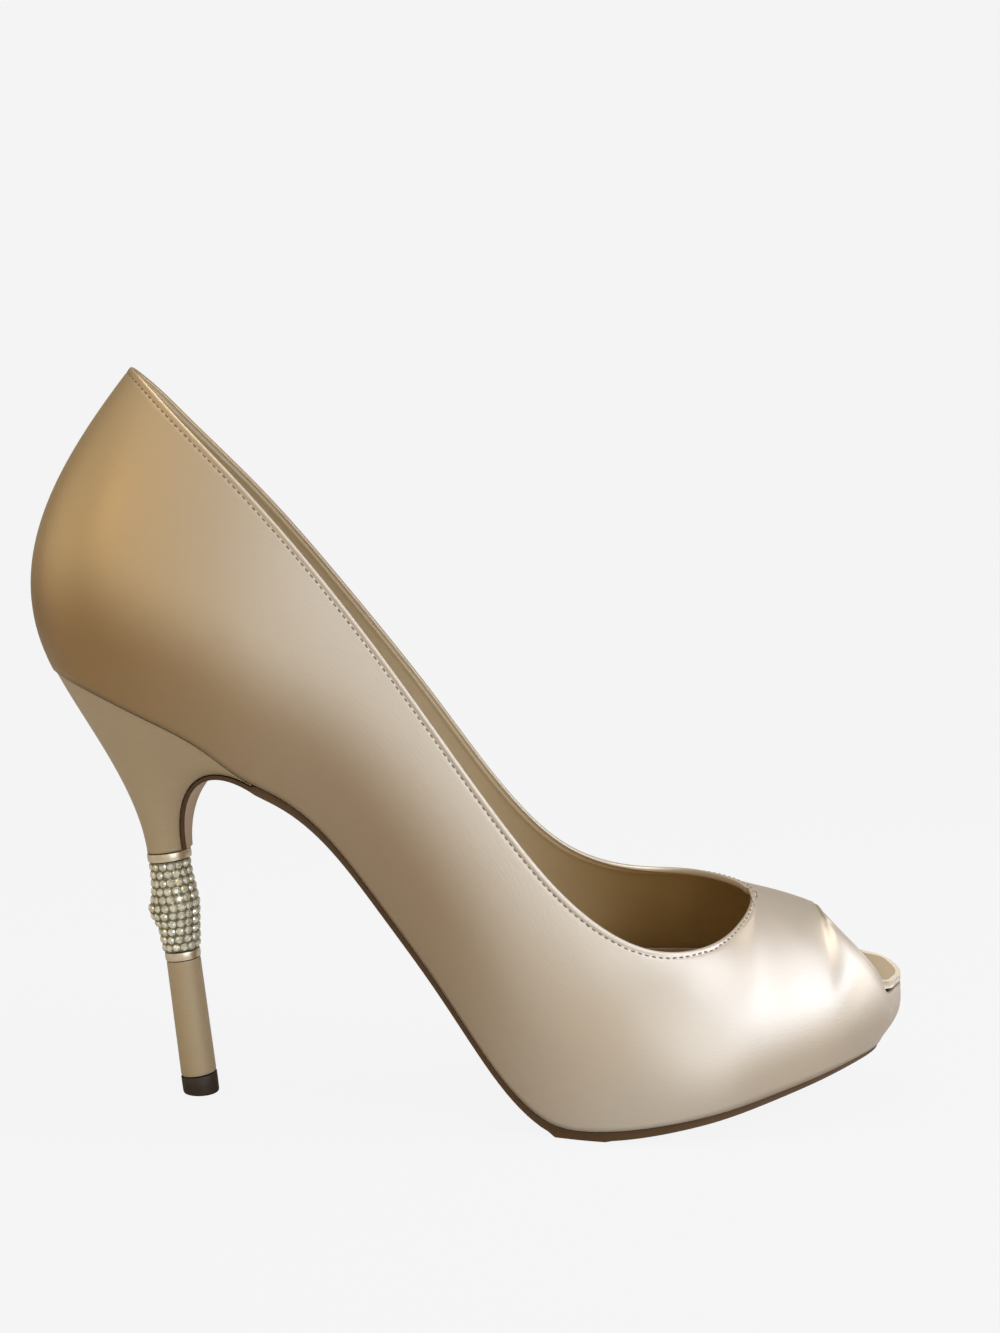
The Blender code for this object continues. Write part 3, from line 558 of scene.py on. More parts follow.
def make_satin(name, pale, deep, reflection_colour, reflection_share, roughness, metallic, under="#FFFFFF"):
    """Satin whose cloth map holds the way round the shoe and the height over the foot, in mm."""
    material, surface = new_finish(name, Metallic=metallic, Coat_Weight=0.6, Coat_Roughness=0.4)
    place = add_node(material, "ShaderNodeTexCoord")
    cloth = add_node(material, "ShaderNodeUVMap", {"uv_map": "cloth"})
    streaks = add_node(
        material, "ShaderNodeMapping",
        Vector=cloth.outputs["UV"], Scale=(1 / STREAK_LENGTH, 1 / STREAK_WIDTH, 1.0),
    )
    slub = add_node(
        material, "ShaderNodeTexNoise", {"noise_dimensions": "2D"},
        Vector=streaks.outputs["Vector"], Scale=1.0, Detail=4.0, Roughness=0.6,
    )
    body = add_node(material, "ShaderNodeMix", RGBA, i0=slub.outputs["Fac"], i6=linear(deep), i7=linear(pale))
    split = add_node(material, "ShaderNodeSeparateXYZ", Vector=place.outputs["Object"])
    # Painted reflection: the warm gold laid into the colour over the counter at the back.
    counter = add_node(
        material, "ShaderNodeMapRange", SMOOTH_STEP,
        Value=split.outputs["X"], From_Min=REFLECTION_FULL * MM, From_Max=REFLECTION_NONE * MM, To_Min=reflection_share, To_Max=0.0,
    )
    gold = add_node(
        material, "ShaderNodeMix", RGBA, i0=counter.outputs["Result"], i6=body.outputs[2], i7=linear(reflection_colour)
    )
    height = add_node(material, "ShaderNodeSeparateXYZ", Vector=cloth.outputs["UV"])
    # Painted shade: the colour is multiplied by the under colour, browner where the satin turns under.
    strengths = []
    for start, end, first, last, full, gone in PAINTED_SHADES:
        along = add_node(
            material, "ShaderNodeMapRange", SMOOTH_STEP,
            Value=split.outputs["X"], From_Min=start * MM, From_Max=end * MM, To_Min=first, To_Max=last,
        )
        low = add_node(
            material, "ShaderNodeMapRange", SMOOTH_STEP,
            Value=height.outputs["Y"], From_Min=full, From_Max=gone,
            To_Min=along.outputs["Result"], To_Max=0.0,
        )
        strengths.append(low.outputs["Result"])
    shade = add_node(material, "ShaderNodeMath", {"operation": "MAXIMUM"}, i0=strengths[0], i1=strengths[1])
    shaded = add_node(
        material, "ShaderNodeMix", {"data_type": "RGBA", "blend_type": "MULTIPLY"},
        i0=shade.outputs["Value"], i6=gold.outputs[2], i7=linear(under),
    )
    join(material, shaded.outputs[2], surface, "Base Color")
    gloss = add_node(
        material, "ShaderNodeMapRange",
        Value=slub.outputs["Fac"], To_Min=roughness - 0.04, To_Max=roughness + 0.06,
    )
    join(material, gloss.outputs["Result"], surface, "Roughness")
    threads = add_node(
        material, "ShaderNodeMapping", Vector=cloth.outputs["UV"], Scale=(1 / THREAD_LENGTH, 1 / THREAD, 1.0)
    )
    weave = add_node(
        material, "ShaderNodeTexNoise", {"noise_dimensions": "2D"},
        Vector=threads.outputs["Vector"], Scale=1.0, Detail=2.0,
    )
    relief = add_node(
        material, "ShaderNodeBump", Height=weave.outputs["Fac"], Strength=0.30, Distance=THREAD_RELIEF * MM
    )
    join(material, relief.outputs["Normal"], surface, "Normal")
    return material


# Upper satin: the gold is a painted warm reflection, and the last colour is painted shade where it turns
# under.
upper_satin = make_satin("duchesse_satin", "#CDC0B1", "#C6B8A7", "#C4A87C", 1.0, 0.42, 0.6, "#D6C7B2")
heel_cover_satin = make_satin("heel_cover_satin", "#BDA887", "#B39D7C", "#B39D7C", 0.0, 0.5, 0.1)
binding_satin = make_satin("binding_satin", "#DDD0BC", "#D2C3AC", "#D2C3AC", 0.0, 0.42, 0.4)
print("satin:", upper_satin.name, heel_cover_satin.name, binding_satin.name)

# %% [markdown]
# ### Leathers
# The lining and the sock are thin kid leather, the outsole is dense sole leather with an inked edge,
# whose dark brown also paints the shade in the seam under the upper.
# Leather's face is a skin of small cells, so a cell pattern gives the grain and noise gives the uneven dye.

# %% Kid leather and sole leather
DYE_PATCH = 18.2


def make_leather(name, pale, deep, grain, depth, roughness):
    """Leather with cells of a size and depth in mm."""
    material, surface = new_finish(name, Roughness=roughness, Coat_Weight=0.0, Coat_Roughness=0.25)
    place, _ = mottle(material, surface, DYE_PATCH, 5.0, deep, pale)
    cells = add_node(
        material, "ShaderNodeTexVoronoi", {"feature": "SMOOTH_F1"}, Vector=place, Scale=1 / (grain * MM)
    )
    relief = add_node(
        material, "ShaderNodeBump", Height=cells.outputs["Distance"], Strength=0.35, Distance=depth * MM
    )
    join(material, relief.outputs["Normal"], surface, "Normal")
    return material


lining_leather = make_leather("lining_kid_leather", "#A08352", "#8A6C3D", 0.55, 0.06, 0.55)
sock_leather = make_leather("sock_kid_leather", "#B39F82", "#A28D6F", 0.6, 0.06, 0.5)
sole_leather = make_leather("sole_leather", "#D2B79A", "#C4A789", 0.45, 0.05, 0.5)
# Inked edge, its dark brown also painted shade in the seam where the sole meets the upper.
sole_edge_ink_and_seam_shade = make_leather("inked_and_seam_shaded_sole_edge", "#5B3E1C", "#47300F", 0.5, 0.03, 0.6)
platform_foam = make_leather("platform_cover", "#8F7C63", "#7A684F", 0.6, 0.05, 0.8)
print("leathers:", lining_leather.name, sock_leather.name, sole_leather.name)

# %% [markdown]
# ### Binding and linings
# The sock is bound with a narrow pale strip along its edge, and the upper's lining is paler over the quarters
# than in the forefoot, where its darker colour is painted shade deep inside the toe. The binding could be a
# piece of its own. It lies flush, so here it is a second colour over the first, by its distance from the rim;
# the lining's painted shade is laid the same way, by its place along the shoe.

# %% Lay a second colour over a leather
BINDING = 1.3
# mm along the shoe over which the lining's painted shade comes in toward the toe
LINING_SHADE_FROM_TO = 45.0, 115.0


def lay_over(material, share, under, over):
    """Mixes the leather's own colour with another. under or over is None where its own colour goes."""
    surface = material.node_tree.nodes["Principled BSDF"]
    own = surface.inputs["Base Color"].links[0].from_socket
    both = [own if colour is None else linear(colour) for colour in (under, over)]
    mixed = add_node(material, "ShaderNodeMix", RGBA, i0=share, i6=both[0], i7=both[1])
    join(material, mixed.outputs[2], surface, "Base Color")


cloth = add_node(sock_leather, "ShaderNodeUVMap", {"uv_map": "cloth"})
away = add_node(sock_leather, "ShaderNodeSeparateXYZ", Vector=cloth.outputs["UV"])
inside = add_node(
    sock_leather, "ShaderNodeMapRange",
    Value=away.outputs["X"], From_Min=BINDING - 0.05, From_Max=BINDING + 0.05,
)
lay_over(sock_leather, inside.outputs["Result"], "#D8CAB4", None)
# Painted shade: the lining darkens from its pale quarters into the forefoot, deep inside the toe.
place = add_node(lining_leather, "ShaderNodeTexCoord")
along = add_node(lining_leather, "ShaderNodeSeparateXYZ", Vector=place.outputs["Object"])
forefoot = add_node(
    lining_leather, "ShaderNodeMapRange", SMOOTH_STEP,
    Value=along.outputs["X"], From_Min=LINING_SHADE_FROM_TO[0] * MM, From_Max=LINING_SHADE_FROM_TO[1] * MM,
)
lay_over(lining_leather, forefoot.outputs["Result"], "#C4B08E", None)
print(f"the binding is {BINDING} mm wide")

# %% [markdown]
# ### Metal, crystals, rubber and thread
# The rings are brass under a pale gold plating. The crystals are cut glass with a silver foil behind them,
# so each facet acts as a small tinted mirror, and they sit in a darkened metal bed. The tip is hard rubber.

# %% Plating, foil-backed crystal, dark bed, rubber and thread
FACET_TINT = 1.11
PLY = 1.43
GRIT_RELIEF = 0.1

ring_gold, surface = new_finish("pale_gold_plating", Metallic=1.0, Roughness=0.32)
mottle(ring_gold, surface, 1.11, 3.0, "#E2D3B8", "#F4E9D4")

crystal, surface = new_finish("foiled_crystal", Metallic=0.6, Roughness=0.12)
place = add_node(crystal, "ShaderNodeTexCoord")
tint = add_node(
    crystal, "ShaderNodeTexVoronoi", Vector=place.outputs["Object"], Scale=1 / (FACET_TINT * MM)
)
foil = add_node(crystal, "ShaderNodeValToRGB", i0=tint.outputs["Distance"])
foil.color_ramp.elements[0].color = linear("#FFFFF6")
foil.color_ramp.elements[1].color = linear("#D6D2BE")
join(crystal, foil.outputs["Color"], surface, "Base Color")

pave_bed, surface = new_finish("darkened_silver_bed", Metallic=0.9, Roughness=0.38)
mottle(pave_bed, surface, 1.43, 3.0, "#6E6A54", "#A8A288")

tip_rubber, surface = new_finish("hard_rubber", Roughness=0.55)
_, speckle = mottle(tip_rubber, surface, 0.833, 4.0, "#2C2116", "#3A2D1E")
grit = add_node(tip_rubber, "ShaderNodeBump", Height=speckle, Strength=0.3, Distance=GRIT_RELIEF * MM)
join(tip_rubber, grit.outputs["Normal"], surface, "Normal")

thread, surface = new_finish("polyester_thread", Roughness=0.45, Sheen_Weight=0.3)
place = add_node(thread, "ShaderNodeTexCoord")
ply = add_node(
    thread, "ShaderNodeTexWave", {"bands_direction": "DIAGONAL"},
    Vector=place.outputs["Object"], Scale=1 / (PLY * MM),
)
strand = add_node(
    thread, "ShaderNodeMix", RGBA, i0=ply.outputs["Fac"], i6=linear("#6F5A3E"), i7=linear("#94805F")
)
join(thread, strand.outputs[2], surface, "Base Color")
print("finishes:", len(bpy.data.materials))

# %% [markdown]
# ## The upper
# The real upper is satin laid over a stiffener and a leather lining, pulled down over the last. Its top edge
# is folded over and stitched about 1.3 mm below the fold. It could be one smooth sheet with a Solidify
# modifier, but a hand-made shell gives the fold its own round edge and lets the lining carry its own leather.

# %% Columns and rows of the wall
FOLD = 0.45
EDGE_ROWS = (0.0, 0.3, 0.6, 0.9, 1.15, 1.4, 1.7, 2.1, 2.6, 3.2, 4.0, 5.0, 6.0)
LOWER_ROWS = 34
COLLAR_FINE, BRIDGE_FINE, PEEP_FINE = 168, 22, 56


def wall_grid(inner):
    """One side of the wall, with rows at true distances under the top edge."""
    feet, tops = LAST.columns(inner, COLLAR_FINE, BRIDGE_FINE, PEEP_FINE)
    tops = tops - np.array([0, 0, FOLD])
    coarse = np.linspace(0, 1, 97)
    path = LAST.wall(inner, feet, tops, coarse)
    shares, distances = [], []
    for column in path:
        run = np.concatenate([[0], np.cumsum(np.linalg.norm(np.diff(column, axis=0), axis=1))])
        total = run[-1]
        near = total - np.array(EDGE_ROWS) * min(1.0, total / 14.0)
        far = np.linspace(near[-1], 0.0, LOWER_ROWS + 1)[1:]
        wanted = np.concatenate([near, far])[::-1]
        shares.append(np.interp(wanted, run, coarse))
        distances.append(wanted)
    return LAST.wall(inner, feet, tops, np.array(shares)), feet, np.array(distances)


walls = {inner: wall_grid(inner) for inner in SIDES}
print("columns and rows on a side:", walls[False][0].shape[:2])

# %% The outer skin
skin = Shell()
ids, cloth_uv = {}, {}
for inner in SIDES:
    grid, feet, distances = walls[inner]
    ids[inner] = np.array(skin.sheet(grid, flip=inner))
    for column, (reach, run) in enumerate(zip(feet, distances)):
        for row, height in enumerate(run):
            cloth_uv[ids[inner][column, row]] = (reach if not inner else -reach, height)
skin_points = np.array(skin.points)


def top_loop(start, end):
    """Points of the top edge along the outer side and back along the inner one."""
    out = list(ids[False][start : end + 1, -1])
    back = list(ids[True][start : end + 1, -1])[::-1]
    return list(dict.fromkeys(out + back))


throat_column = COLLAR_FINE
bridge_column = COLLAR_FINE + BRIDGE_FINE
collar_loop = top_loop(0, throat_column)
peep_loop = top_loop(bridge_column, len(ids[False]) - 1)
foot_loop = list(dict.fromkeys(list(ids[False][:, 0]) + list(ids[True][:, 0])[::-1]))[::-1]
print("points round the collar and the toe opening:", len(collar_loop), len(peep_loop))

# %% [markdown]
# ### A smooth vamp
# The columns turn sharply at the ends of the bridge, where a real vamp is one skin without a ridge. Each
# point there moves toward the middle of its neighbours and then a little less far back, many times over,
# square to the satin. That melts creases and keeps most of the form, which a Smooth modifier would shrink.

# %% Smooth the vamp
SMOOTHING = 320
TOWARD, BACK_OFF = 0.6, -0.49
FRESH_NORMALS = 20
SMOOTH_MIDDLE, SMOOTH_REACH = 147.0, 22.0
SMOOTH_PLATEAU = 1.6
STILL_EDGE, EDGE_FADE = 0.1, 1.1


def distance_to(loop):
    """Distance of each point of the skin from a loop of its own points."""
    tree = KDTree(len(loop))
    for i, vertex in enumerate(loop):
        tree.insert(skin_points[vertex], i)
    tree.balance()
    return np.array([tree.find(p)[2] for p in skin_points])


skin_edges = np.array([(f[i], f[(i + 1) % len(f)]) for f in skin.faces for i in range(len(f))])
skin_edges = np.unique(np.sort(skin_edges, axis=1), axis=0)
neighbours = np.bincount(skin_edges.ravel(), minlength=len(skin_points))


def neighbour_mean(values):
    """The mean over each point's neighbours on the skin."""
    total = np.zeros_like(values)
    np.add.at(total, skin_edges[:, 0], values[skin_edges[:, 1]])
    np.add.at(total, skin_edges[:, 1], values[skin_edges[:, 0]])
    return total / neighbours[:, None]


rim_away = np.minimum(distance_to(collar_loop + peep_loop), distance_to(foot_loop))
from_middle = np.abs(skin_points[:, 0] - SMOOTH_MIDDLE) / SMOOTH_REACH
free = np.clip((rim_away - STILL_EDGE) / EDGE_FADE, 0, 1)
free *= np.clip(SMOOTH_PLATEAU * (1 - from_middle), 0, 1)
before = skin_points.copy()
for turn in range(SMOOTHING):
    if turn % FRESH_NORMALS == 0:
        skin_normals = vertex_normals(skin_points, skin.faces)
    move = ((neighbour_mean(skin_points) - skin_points) * skin_normals).sum(1)
    skin_points += ((BACK_OFF if turn % 2 else TOWARD) * free * move)[:, None] * skin_normals
skin_normals = vertex_normals(skin_points, skin.faces)
print(f"smoothing moved the vamp by up to {np.linalg.norm(skin_points - before, axis=1).max():.2f} mm")

# %% [markdown]
# ### Folds and pulls
# Satin that is pulled over a last never lies dead flat. Over the vamp it pulls into a few soft folds between
# the throat and the toe opening, the stitched edge draws in, and the skirt puckers a little where it turns
# under the platform. Each fold is a soft trough or ridge laid between two given points in the shoe's sizes.

# %% Folds between given points
# from and to in millimetres, width and depth too; a negative depth is a trough.
FOLDS = (
    ((139.5, -9.0, 47.0), (139.0, -24.0, 38.5), 2.8, -0.28),
    ((144.0, -7.0, 46.5), (146.5, -21.0, 38.5), 2.6, 0.24),
    ((148.5, -8.0, 45.0), (152.5, -17.5, 38.5), 3.0, -0.12),
    ((139.5, 15.0, 47.0), (138.5, 28.0, 40.0), 2.4, -0.30),
    ((146.5, 14.0, 45.5), (149.5, 24.0, 39.0), 2.2, -0.28),
)


def fold_push(points):
    """How far each point moves along its normal for the folds listed in FOLDS."""
    push = np.zeros(len(points))
    for start, end, width, depth in FOLDS:
        start, end = np.array(start), np.array(end)
        along = (points - start) @ (end - start) / ((end - start) @ (end - start))
        held = np.clip(along, 0, 1)
        away = np.linalg.norm(points - (start + held[:, None] * (end - start)), axis=1)
        fade = np.clip(np.sin(np.pi * np.clip(0.08 + along * 0.84, 0, 1)), 0, 1) ** 0.7
        push += depth * np.exp(-((away / width) ** 2)) * fade
    return push


STITCH_LINE = 1.25
STITCH_PULL, PEEP_PULL = 0.16, 0.05
PULL_WIDTH, SWELL_WIDTH = 0.35, 0.4
push = fold_push(skin_points)
for loop, pull in ((collar_loop, STITCH_PULL), (peep_loop, PEEP_PULL)):
    away = distance_to(loop)
    push -= pull * np.exp(-(((away - STITCH_LINE) / PULL_WIDTH) ** 2))
    push += pull / 2 * np.exp(-(((away - STITCH_LINE / 2) / SWELL_WIDTH) ** 2))
skin_points = skin_points + skin_normals * push[:, None]
skin_normals = vertex_normals(skin_points, skin.faces)
print(f"folds move the satin by {push.min():.2f} to {push.max():.2f} mm")

# %% Fold the edges over and line the shell
ROLL_STEPS = 5
LINING_EASE = 24


def roll_edge(shell, loop, lining_ids, reach, kind):
    """A round edge from each point of a loop over to the lining's point behind it."""
    places = skin_points[loop]
    along = np.roll(places, -1, axis=0) - np.roll(places, 1, axis=0)
    out = np.cross(skin_normals[loop], along)
    out /= np.linalg.norm(out, axis=1)[:, None]
    behind = np.array([shell.points[i] for i in lining_ids])
    rings = [list(loop)]
    for angle in np.linspace(0, math.pi, ROLL_STEPS + 1)[1:-1]:
        middle = (places + behind) / 2
        half = (places - behind) / 2
        ring = middle + half * math.cos(angle) + out * reach * math.sin(angle)
        rings.append([shell.point(place, weld=False) for place in ring])
    rings.append(list(lining_ids))
    shell.strip(rings, kind)


SATIN_KIND, LINING_KIND = 0, 1
upper_shell = Shell()
upper_shell.points = [list(p) for p in skin_points]
upper_shell.faces = [list(f) for f in skin.faces]
upper_shell.kinds = [SATIN_KIND] * len(skin.faces)
inward = skin_normals.copy()
for _ in range(LINING_EASE):
    inward = (inward + neighbour_mean(inward)) / 2
inward /= np.linalg.norm(inward, axis=1)[:, None]
lining_points = skin_points - inward * WALL
base = len(upper_shell.points)
upper_shell.points += [list(p) for p in lining_points]
for face in skin.faces:
    upper_shell.face([base + i for i in face[::-1]], LINING_KIND)
for loop, reach in ((collar_loop, FOLD), (peep_loop, FOLD), (foot_loop, 0.05)):
    roll_edge(upper_shell, loop, [base + i for i in loop], reach, SATIN_KIND)
uv = np.zeros((len(upper_shell.points), 2))
for vertex, place in cloth_uv.items():
    uv[vertex] = uv[base + vertex] = place
new_piece(
    "upper_satin_and_lining", upper_shell.points, upper_shell.faces, [upper_satin, lining_leather],
    upper_shell.kinds, uv, replaces=["upper"],
)

# %% [markdown]
# ### Stitches
# A fine row of lock stitches holds the folded edge. Each stitch is a short thread that dives into the satin
# at both ends, so it is made as a small bent capsule, laid along the edge at the stitch line.

# %% Lay the stitches
STITCH = 1.1
STITCH_GAP = 0.6
THREAD_WIDTH = 0.36
STITCH_SIDES, STITCH_PARTS = 6, 6
STITCH_DIVE = 0.14
AHEAD = 0.2
skin_tree = BVHTree.FromPolygons([Vector(p) for p in skin_points], skin.faces)


def stitch_path(loop, inset):
    """Points and normals along a loop of the top edge, moved down the satin by inset."""
    places = skin_points[loop]
    along = np.roll(places, -1, axis=0) - np.roll(places, 1, axis=0)
    out = np.cross(skin_normals[loop], along)
    out /= np.linalg.norm(out, axis=1)[:, None]
    found = [skin_tree.find_nearest(Vector(p)) for p in places - out * inset]
    return np.array([f[0] for f in found]), np.array([f[1] for f in found])


def lay_stitches(name, loop, inset):
    """One mesh with all stitches of a row."""
    places, normals = stitch_path(loop, inset)
    places = np.concatenate([places, places[:1]])
    normals = np.concatenate([normals, normals[:1]])
    run = np.concatenate([[0], np.cumsum(np.linalg.norm(np.diff(places, axis=0), axis=1))])
    count = int(run[-1] / (STITCH + STITCH_GAP))
    turns = np.linspace(0, 2 * math.pi, STITCH_SIDES, endpoint=False)

    def on_path(values, at):
        return np.array([np.interp(at, run, values[:, i]) for i in range(3)])

    shell = Shell()
    for k in range(count):
        rings = []
        for share in np.linspace(0, 1, STITCH_PARTS + 1):
            at = run[-1] * k / count + share * STITCH
            place = on_path(places, at)
            normal = on_path(normals, at)
            normal /= np.linalg.norm(normal)
            ahead = on_path(places, at + AHEAD) - place
            side = np.cross(ahead / np.linalg.norm(ahead), normal)
            thick = THREAD_WIDTH / 2 * math.sin(math.pi * (0.12 + 0.76 * share)) ** 0.5
            lift = thick * 0.5 - STITCH_DIVE * (2 * share - 1) ** 4
            rings.append(circle(place + normal * lift, thick, side, normal, turns))
        shell.tube(rings)
    print(f"{count} stitches of {STITCH} mm")
    return new_piece(name, shell.points, shell.faces, [thread])


lay_stitches("collar_stitches", collar_loop, STITCH_LINE)

# %% [markdown]
# ## Flat pieces of the bottom
# The insole, the platform and the outsole are cut flat and bent along the foot. Each is drawn as ribs across
# the shoe between two outlines. The outlines are read off the last, so every piece fits the shell around it.

# %% Outlines and ribs


def outline_at(inner, level, inset, sill=None):
    """One side's outline in plan, from back to toe: where the wall passes a level, moved in by inset.

    level and sill are functions of x. With a sill, the outline goes out over the wall's top edge where that
    is below the sill.
    """
    feet, tops = LAST.columns(inner, 31, 3, 12)
    spots, slopes, insets = [], [], []
    for points in LAST.wall(inner, feet, tops, np.linspace(0, 1, 13)):
        over = points[:, 2] - level(points[:, 0])
        above = np.nonzero(over >= 0)[0]
        row = max(above[0], 1) if len(above) else len(points) - 1
        share = np.clip(over[row - 1] / (over[row - 1] - over[row]), 0, 1)
        goes_over = sill is not None and points[-1, 2] < sill(points[-1, 0]) - SILL_ROOM
        spots.append(points[row - 1] * (1 - share) + points[row] * share)
        slopes.append(points[row] - points[row - 1])
        insets.append(-TOE_OVERHANG if goes_over else inset)
    spots, slopes, insets = np.array(spots), np.array(slopes), np.array(insets)
    along = np.gradient(spots[:, :2], axis=0)
    out = np.stack([along[:, 1], -along[:, 0]], 1) * (-1.0 if inner else 1.0)
    out /= np.linalg.norm(out, axis=1)[:, None]
    outward = (slopes[:, :2] * out).sum(1)
    steepness = np.abs(slopes[:, 2]) / np.hypot(slopes[:, 2], outward)
    return spots[:, :2] - out * (insets / np.clip(steepness, LEAST_STEEPNESS, 1))[:, None]


def smooth_outline(edge, step=0.8):
    """The same outline with points close together on a smooth curve."""
    run = np.concatenate([[0], np.cumsum(np.linalg.norm(np.diff(edge, axis=0), axis=1))])
    return spline(run, edge)(np.arange(0, run[-1] + step / 2, step))


def fine_stations(start, end, step=1.6, round_start=True, round_end=True):
    """Places of ribs along X, close together at round ends."""
    close = 8.0 * (1 - np.cos(np.linspace(0, math.pi / 2, 13)))
    first = start + close if round_start else np.array([start])
    last = (end - close)[::-1] if round_end else np.array([end])
    grid = np.arange(first[-1] + step, last[0] - step / 3, step)
    return np.concatenate([first, grid, last])


def across(outer, inner, x, parts):
    """Places across a piece at x, from its outer edge to its inner edge."""
    ends = []
    for edge in (outer, inner):
        order = np.argsort(edge[:, 0])
        ends.append(np.interp(x, edge[order, 0], edge[order, 1]))
    return np.linspace(ends[0], ends[1], parts + 1)


def slab(over, under, top_kind=0, rim_kind=0, under_kind=0):
    """A closed solid between two grids of the same size."""
    shell = Shell()
    top = shell.sheet(over, top_kind)
    shell.seen = {}
    bottom = shell.sheet(under, under_kind, flip=True)

    def rim(rows):
        return rows[0] + [row[-1] for row in rows[1:]] + rows[-1][-2::-1] + [row[0] for row in rows[-2:0:-1]]

    edge_over, edge_under = rim(top), rim(bottom)
    for i in range(len(edge_over)):
        j = (i + 1) % len(edge_over)
        if edge_over[i] != edge_over[j]:
            shell.face([edge_over[j], edge_over[i], edge_under[i], edge_under[j]], rim_kind)
    return shell


def soften(piece, width, segments=3):
    """Rounds the sharp edges of a piece."""
    bevel = piece.modifiers.new("rounded edge", "BEVEL")
    bevel.width = width * MM
    bevel.segments = segments
    bevel.limit_method = "ANGLE"
    bevel.angle_limit = math.radians(40)
    bevel.harden_normals = False
    return piece


print(f"the insole is {INSOLE} mm thick, the outsole {OUTSOLE - GAP:.1f} mm")

# %% [markdown]
# ### Insole
# The insole board is covered with a kid leather sock, and at the toe its edge is wrapped, because it shows in
# the opening. Its middle is dished a little for the foot.

# %% Make the insole
INSOLE_PARTS = 28
INSOLE_EDGE = 0.8
inset = WALL + GAP + ROOM
insole_tops, insole_feet = (
    [smooth_outline(outline_at(inner, level, inset, insole_underside)) for inner in SIDES]
    for level in (insole_top, insole_underside)
)
start = max(edge[:, 0].min() for edge in insole_tops + insole_feet) + ROOM
end = min(edge[:, 0].max() for edge in insole_tops + insole_feet)
over, under = [], []
for x in fine_stations(start, end):
    y = across(*insole_tops, x, INSOLE_PARTS)
    half = max((y[-1] - y[0]) / 2, 1.0)
    middle = (y[0] + y[-1]) / 2
    rise = INSOLE_DISH * (half / (BALL_WIDTH / 2)) * (((y - middle) / half) ** 2 - 1)
    rise += TOE_EDGE_TILT * toe_share(x) * (y - middle)
    over.append([(x, side, float(insole_top(x)) + high) for side, high in zip(y, rise)])
    under.append([(x, side, float(insole_underside(x))) for side in across(*insole_feet, x, INSOLE_PARTS)])
insole_shell = slab(over, under, 0, 1, 1)
rim_tree = KDTree(4 * len(over))
for i, row in enumerate(over):
    for place in (row[0], row[-1], *(over[-1] if i == len(over) - 1 else ())):
        rim_tree.insert((place[0], place[1], 0.0), i)
rim_tree.balance()
to_rim = [(rim_tree.find((p[0], p[1], 0.0))[2], 0.0) for p in insole_shell.points]
insole = new_piece(
    "insole_with_sock", insole_shell.points, insole_shell.faces, [sock_leather, binding_satin],
    insole_shell.kinds, to_rim, replaces=["insole"],
)
soften(insole, INSOLE_EDGE)

# %% [markdown]
# ## The heel
# A covered heel is a moulded block wrapped in the upper's satin. Its outline leaves the seat in a sweep, and
# the breast is arched so that the outsole can run down it as a flap. It could be carved with Boolean cuts,
# but one curve from each point of the seat down to the neck gives the sweep directly.

# %% Sizes of the heel
TIP_HEIGHT = 4.6
STEM_HEIGHT = 28.3
RING_HEIGHT = 1.9
SLEEVE_HEIGHT = 22.0
NECK_SETBACK = 7.3
NECK_DEPTH = 10.2
NECK_WIDTH = 11.2
STEM_TOP_DEPTH = 8.2
STEM_FOOT_DEPTH = 8.5
STEM_WIDTH_RATIO = 1.04
TIP_OVERHANG = 0.1
TIP_RIM = 0.4
RING_OVERHANG = 0.15
NECK_HEIGHT = TIP_HEIGHT + STEM_HEIGHT + 2 * RING_HEIGHT + SLEEVE_HEIGHT + 4 * GAP
LEAN = NECK_SETBACK / NECK_HEIGHT
BREAST = 0.264
BREAST_EDGE = 0.4
HEEL_FLARE = (
    (0.00, 0.170, 0.000, -0.310),
    (0.30, 0.080, 0.110, -0.260),
    (0.60, -0.040, 0.150, -0.200),
    (0.85, -0.200, 0.130, -0.020),
    (1.00, -0.290, 0.100, 0.150),
)
NECK_HANDLE = 0.37
NECK_SPREAD = 0.08
NECK_FRONT = 0.5
BREAST_TURN = 0.225
BREAST_BULGE = 0.1
HEEL_ROWS, BREAST_PARTS = 44, 20
print(f"the neck of the heel is {NECK_HEIGHT:.1f} mm over the floor")

# %% Curves of the heel block


def bezier(handles, t):
    a, b, c, d = handles
    return a * (1 - t) ** 3 + b * 3 * t * (1 - t) ** 2 + c * 3 * t**2 * (1 - t) + d * t**3


def heel_section(height, back, front, side, turn):
    """A point of the heel's section square to its axis. turn runs from the back at 0 round the outer side."""
    x, y = -math.cos(turn), -math.sin(turn)
    x *= front if x > 0 else back
    tilt = LEAN * min(height / TIP_HEIGHT, 1.0)
    return np.array([x - LEAN * height, y * side, height + x * tilt])


_flare = spline([row[0] for row in HEEL_FLARE], [row[1:] for row in HEEL_FLARE])


def side_handles(seat, side, corner):
    """The curve of the heel's side from a point of the seat down to the neck."""
    height = SEAT_RISE - NECK_HEIGHT
    forward, inward, up = _flare(corner) * height
    turn = -side * corner * math.pi * (1 - BREAST_TURN)
    neck = heel_section(NECK_HEIGHT + GAP, NECK_DEPTH / 2, NECK_DEPTH * NECK_FRONT, NECK_WIDTH / 2, turn)
    reach = NECK_HANDLE * height
    spread = NECK_SPREAD * height * math.sin(corner * math.pi / 2)
    leave = np.array([forward, -side * inward, up])
    arrive = np.array([-reach * LEAN, side * spread, reach])
    return np.array([seat, seat + leave, neck + arrive, neck])


